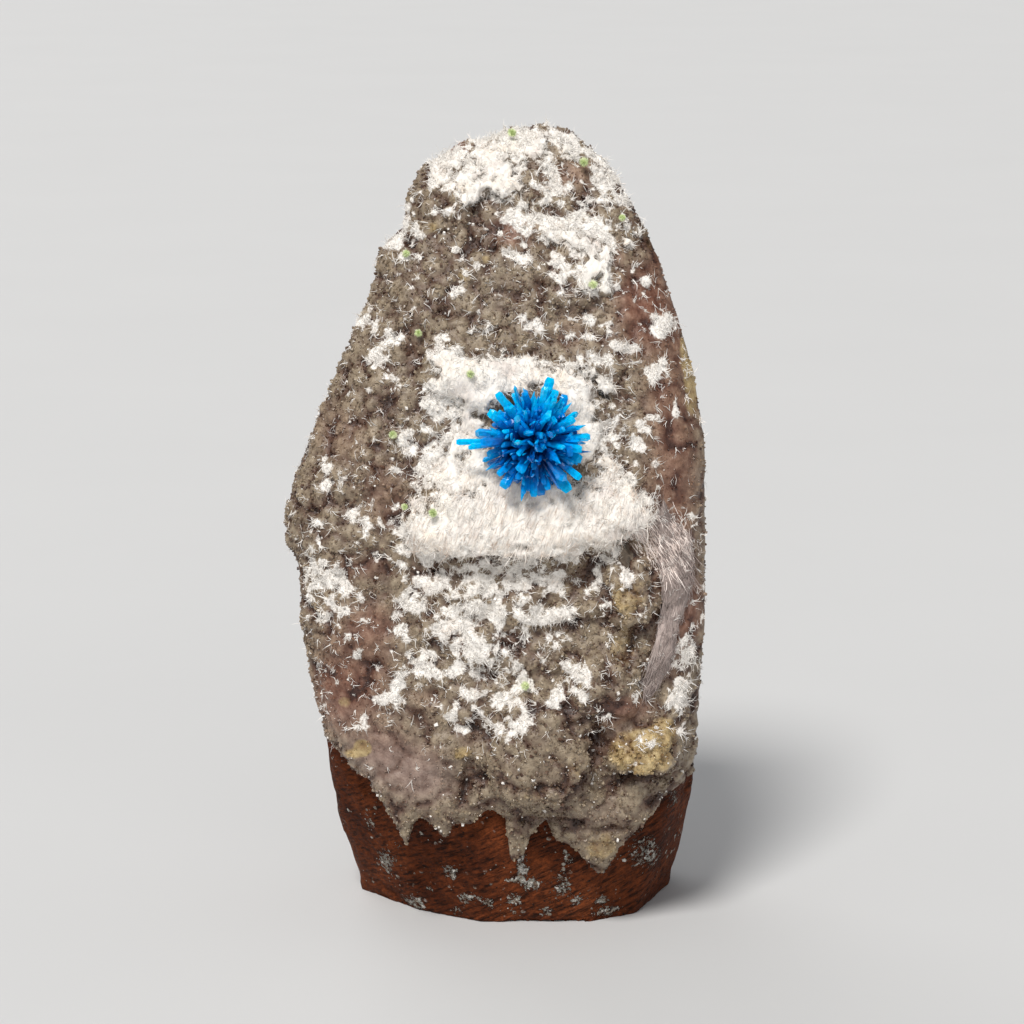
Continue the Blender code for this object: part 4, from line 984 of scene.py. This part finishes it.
def basalt():
    """The slab: broken and rough behind, smooth and sawn at the foot, coarse where the crust hides it."""
    crust = node_tree("druse_crust")

    def longest(places):
        hidden = distances(crust, places) < 1.2
        size = np.where((places[:, 2] < 18) & (places[:, 1] < 4), 0.48, 0.95)
        return np.where(hidden & (places[:, 2] > 24), 2.5, size)

    points, triangles = refined(*node_mesh("basalt_matrix"), longest, rounds=5)
    points = relaxed(points, triangles, 2)
    smooth = smoothstep(23.0, 16.0, points[:, 2]) * smoothstep(0.0, 2.0, points[:, 2])
    points += smooth[:, None] * (relaxed(points, triangles, 30) - points)
    normals = outward(points, triangles)
    away = distances(crust, points)
    low = points[:, 2].min()
    sawn = smoothstep(24.0, 14.0, points[:, 2]) * smoothstep(8.0, 2.0, points[:, 1])
    sides = np.abs(normals[:, 1]) < 0.75
    edge = 0.5 * smoothstep(5.0, 0.6, away) * smoothstep(20.0, 26.0, points[:, 2]) * sides
    push = basalt_relief(points, normals, sawn) * smoothstep(0.5, 2.5, away) + edge
    flat = points[:, 2] < low + 0.02
    points = points + normals * np.where(flat, 0.0, push)[:, None]
    points[:, 2] = np.maximum(points[:, 2], low)
    points[:, 0] = np.clip(points[:, 0], -SIDE_LIMIT, SIDE_LIMIT)
    wider = [(x, z, 1.6 * wide, 1.6 * high, power) for x, z, wide, high, power in FILLINGS]
    filled = strength(points, wider, wander=0.5) * sawn * (points[:, 1] < 4)
    cover = np.stack([filled, sawn, filled, filled], axis=1)
    piece = mesh_object("basalt_slab", points, triangles, basalt_look(), "basalt", True, cover)
    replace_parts(piece, "basalt_matrix")


# The blue crystals


def blade(middle, way, side, start, length, width, thickness, pointed):
    """Corners of one crystal: a flattened six-sided blade with a chisel edge or a point."""
    up = way.cross(side)
    tip = min(width * (2.2 if pointed else 0.42), 0.5 * length)
    outline = ((-0.5, -0.26), (-0.5, 0.26), (0.0, 0.5), (0.5, 0.26), (0.5, -0.26), (0.0, -0.5))
    corners = []
    for share, distance in ((0.72, start), (1.0, length - tip)):
        corners += [
            middle + way * distance + side * (i * width * share) + up * (j * thickness * share)
            for i, j in outline
        ]
    half = 0.05 if pointed else 0.34
    corners += [middle + way * length + side * (s * width) for s in (-half, half)]
    return corners


BLADE = [(i, (i + 1) % 6, 6 + (i + 1) % 6) for i in range(6)]
BLADE += [(i, 6 + (i + 1) % 6, 6 + i) for i in range(6)]
BLADE += [(0, 2, 1), (0, 3, 2), (0, 4, 3), (0, 5, 4)]
BLADE += [(6, 7, 12), (7, 8, 12), (8, 13, 12), (8, 9, 13), (9, 10, 13), (10, 11, 13), (11, 12, 13)]
BLADE += [(11, 6, 12)]


def toward(angle, tilt):
    a, t = math.radians(angle), math.radians(tilt)
    return Vector((math.cos(a) * math.cos(t), -math.sin(t), math.sin(a) * math.cos(t)))


def cluster():
    """The pentagonite: long blades at the rim, with many shorter ones that fill the ball."""
    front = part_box("pentagonite_cluster")[0].y / MM
    middle = Vector((CLUSTER_MIDDLE[0], front + CLUSTER_DEPTH, CLUSTER_MIDDLE[1]))
    rng = np.random.default_rng(31)
    corners, tones_with_top_light = [], []

    def add(angle, tilt, length, width, thickness, pointed, tone, turned=1.0, astray=0.0):
        root = middle + astray * Vector(rng.normal(size=3))
        way = (middle + toward(angle, tilt) * length - root).normalized()
        flat = way.cross(Vector((0, 1, 0))).normalized()
        side = flat + turned * Vector(rng.normal(size=3))
        side = (side - way * side.dot(way)).normalized()
        corners.append([tuple(c) for c in blade(root, way, side, 1.2, length, width, thickness, pointed)])
        tones_with_top_light.append(tone)

    for angle, tilt, length, width, thickness, pointed in RIM_CRYSTALS:
        add(angle, tilt, length, width, thickness, pointed, 0.75, 0.1)
        for _ in range(3):
            wander = rng.normal(scale=3.0, size=2)
            share = rng.uniform(0.66, 0.93)
            add(angle + wander[0], tilt + wander[1] + 4, length * share, width * 0.75, thickness * 0.8,
                bool(rng.random() < 0.4), rng.uniform(0.3, 0.8), 0.4)
    for i in range(SMALL_CRYSTALS):
        rise = rng.uniform(-0.85, 1.0)
        angle = i * GOLDEN_ANGLE + rng.uniform(-14, 14)
        length = rng.uniform(3.4, 5.5) * (1.0 - 0.06 * rise)
        width = rng.uniform(0.45, 1.2)
        add(angle, math.degrees(math.asin(rise)), length, width, width * rng.uniform(0.55, 0.9),
            bool(rng.random() < 0.25), rng.uniform(-0.2, 1.0), 1.0, 0.75)
    for _ in range(TINY_CRYSTALS):
        way = Vector(rng.normal(size=3)).normalized()
        if way.y > 0.85:
            continue
        root = middle + way * rng.uniform(3.2, 4.3)
        astray = (way + 0.55 * Vector(rng.normal(size=3))).normalized()
        side = astray.orthogonal().normalized()
        width = rng.uniform(0.22, 0.5)
        corners.append([tuple(c) for c in blade(root, astray, side, -0.4, rng.uniform(0.5, 1.1), width,
                                                width * 0.7, bool(rng.random() < 0.5))])
        tones_with_top_light.append(rng.uniform(0.0, 1.0))
    corners = np.array(corners)
    # Crystals whose tips reach higher get a lighter tone: painted light on the upper side of the group.
    tones_with_top_light = np.array(tones_with_top_light) + 0.07 * (corners[:, -1, 2] - middle.z)
    points, triangles = joined(corners, BLADE)
    cover = np.repeat(np.repeat(tones_with_top_light[:, None], 4, axis=1), corners.shape[1], axis=0)
    look = pentagonite_look(middle)
    piece = mesh_object("pentagonite_spray", points, triangles, look, "pentagonite", False, cover)
    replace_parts(piece, "pentagonite_cluster")


def spherules():
    """Tiny green balls of radiating crystals, one for each that the CAD has, joined in one mesh."""
    rng = np.random.default_rng(41)
    names = sorted(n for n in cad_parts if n.startswith("green_spherule"))
    feet, directions, lengths = [], [], []
    for name in names:
        low, high = (np.array(tuple(corner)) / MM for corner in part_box(name))
        middle, radius = (low + high) / 2, (high - low).min() / 2
        away = unit(rng.normal(size=(BALL_NEEDLES, 3)))
        directions.append(away)
        feet.append(middle + away * radius * 0.1)
        lengths.append(radius * rng.uniform(0.7, 1.05, BALL_NEEDLES))
    feet, directions, lengths = (np.concatenate(part) for part in (feet, directions, lengths))
    made = needles(feet, directions, lengths, np.full(len(feet), BALL_NEEDLE_RADIUS), rng)
    piece = mesh_object("green_spherules", *made, green_look(), "green_crystals", False)
    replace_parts(piece, *names)


# Stage


def sun(name, place, power, softness, colour=(1, 1, 1)):
    """A large soft light far away, on the side of this place, its size given as an angle in degrees."""
    light = bpy.data.lights.new(name, "SUN")
    light.angle = math.radians(softness)
    light.energy = power
    light.color = colour
    obj = in_scene(name, light)
    obj.location = [c * MM for c in place]
    obj.rotation_euler = Vector(place).to_track_quat("Z", "Y").to_euler()


def stage():
    """The floor, three soft lights and a pale sky."""
    side = FLOOR_SIZE / 2 * MM
    mesh = bpy.data.meshes.new("floor")
    corners = [(-side, -side, 0), (side, -side, 0), (side, side, 0), (-side, side, 0)]
    mesh.from_pydata(corners, [], [(0, 1, 2, 3)])
    mesh.materials.append(floor_look())
    in_scene("floor", mesh)
    sun("key_light", (-120, -330, 420), 3.0, 16, (1.0, 0.98, 0.95))
    sun("front_fill", (120, -420, 60), 0.7, 60)
    sun("back_light", (-180, 330, 260), 0.6, 40)
    world = bpy.data.worlds.new("studio")
    bpy.context.scene.world = world
    world.use_nodes = True
    background = world.node_tree.nodes["Background"]
    background.inputs["Color"].default_value = (0.95, 0.97, 1.0, 1)
    background.inputs["Strength"].default_value = SKY_STRENGTH
    bpy.context.scene.view_settings.view_transform = "Standard"


def camera():
    """Straight in front of the specimen, looking slightly down."""
    data = bpy.data.cameras.new("camera")
    data.lens = CAMERA_LENS
    data.clip_start = 0.01
    obj = in_scene("camera", data)
    rise = math.radians(CAMERA_ELEVATION)
    away = Vector((0, -math.cos(rise), math.sin(rise)))
    obj.location = (Vector(LOOK_AT) + away * CAMERA_DISTANCE) * MM
    obj.rotation_euler = (-away).to_track_quat("-Z", "Y").to_euler()
    bpy.context.scene.camera = obj


camera()
stage()
basalt()
crust_and_fibres()
cluster()
spherules()
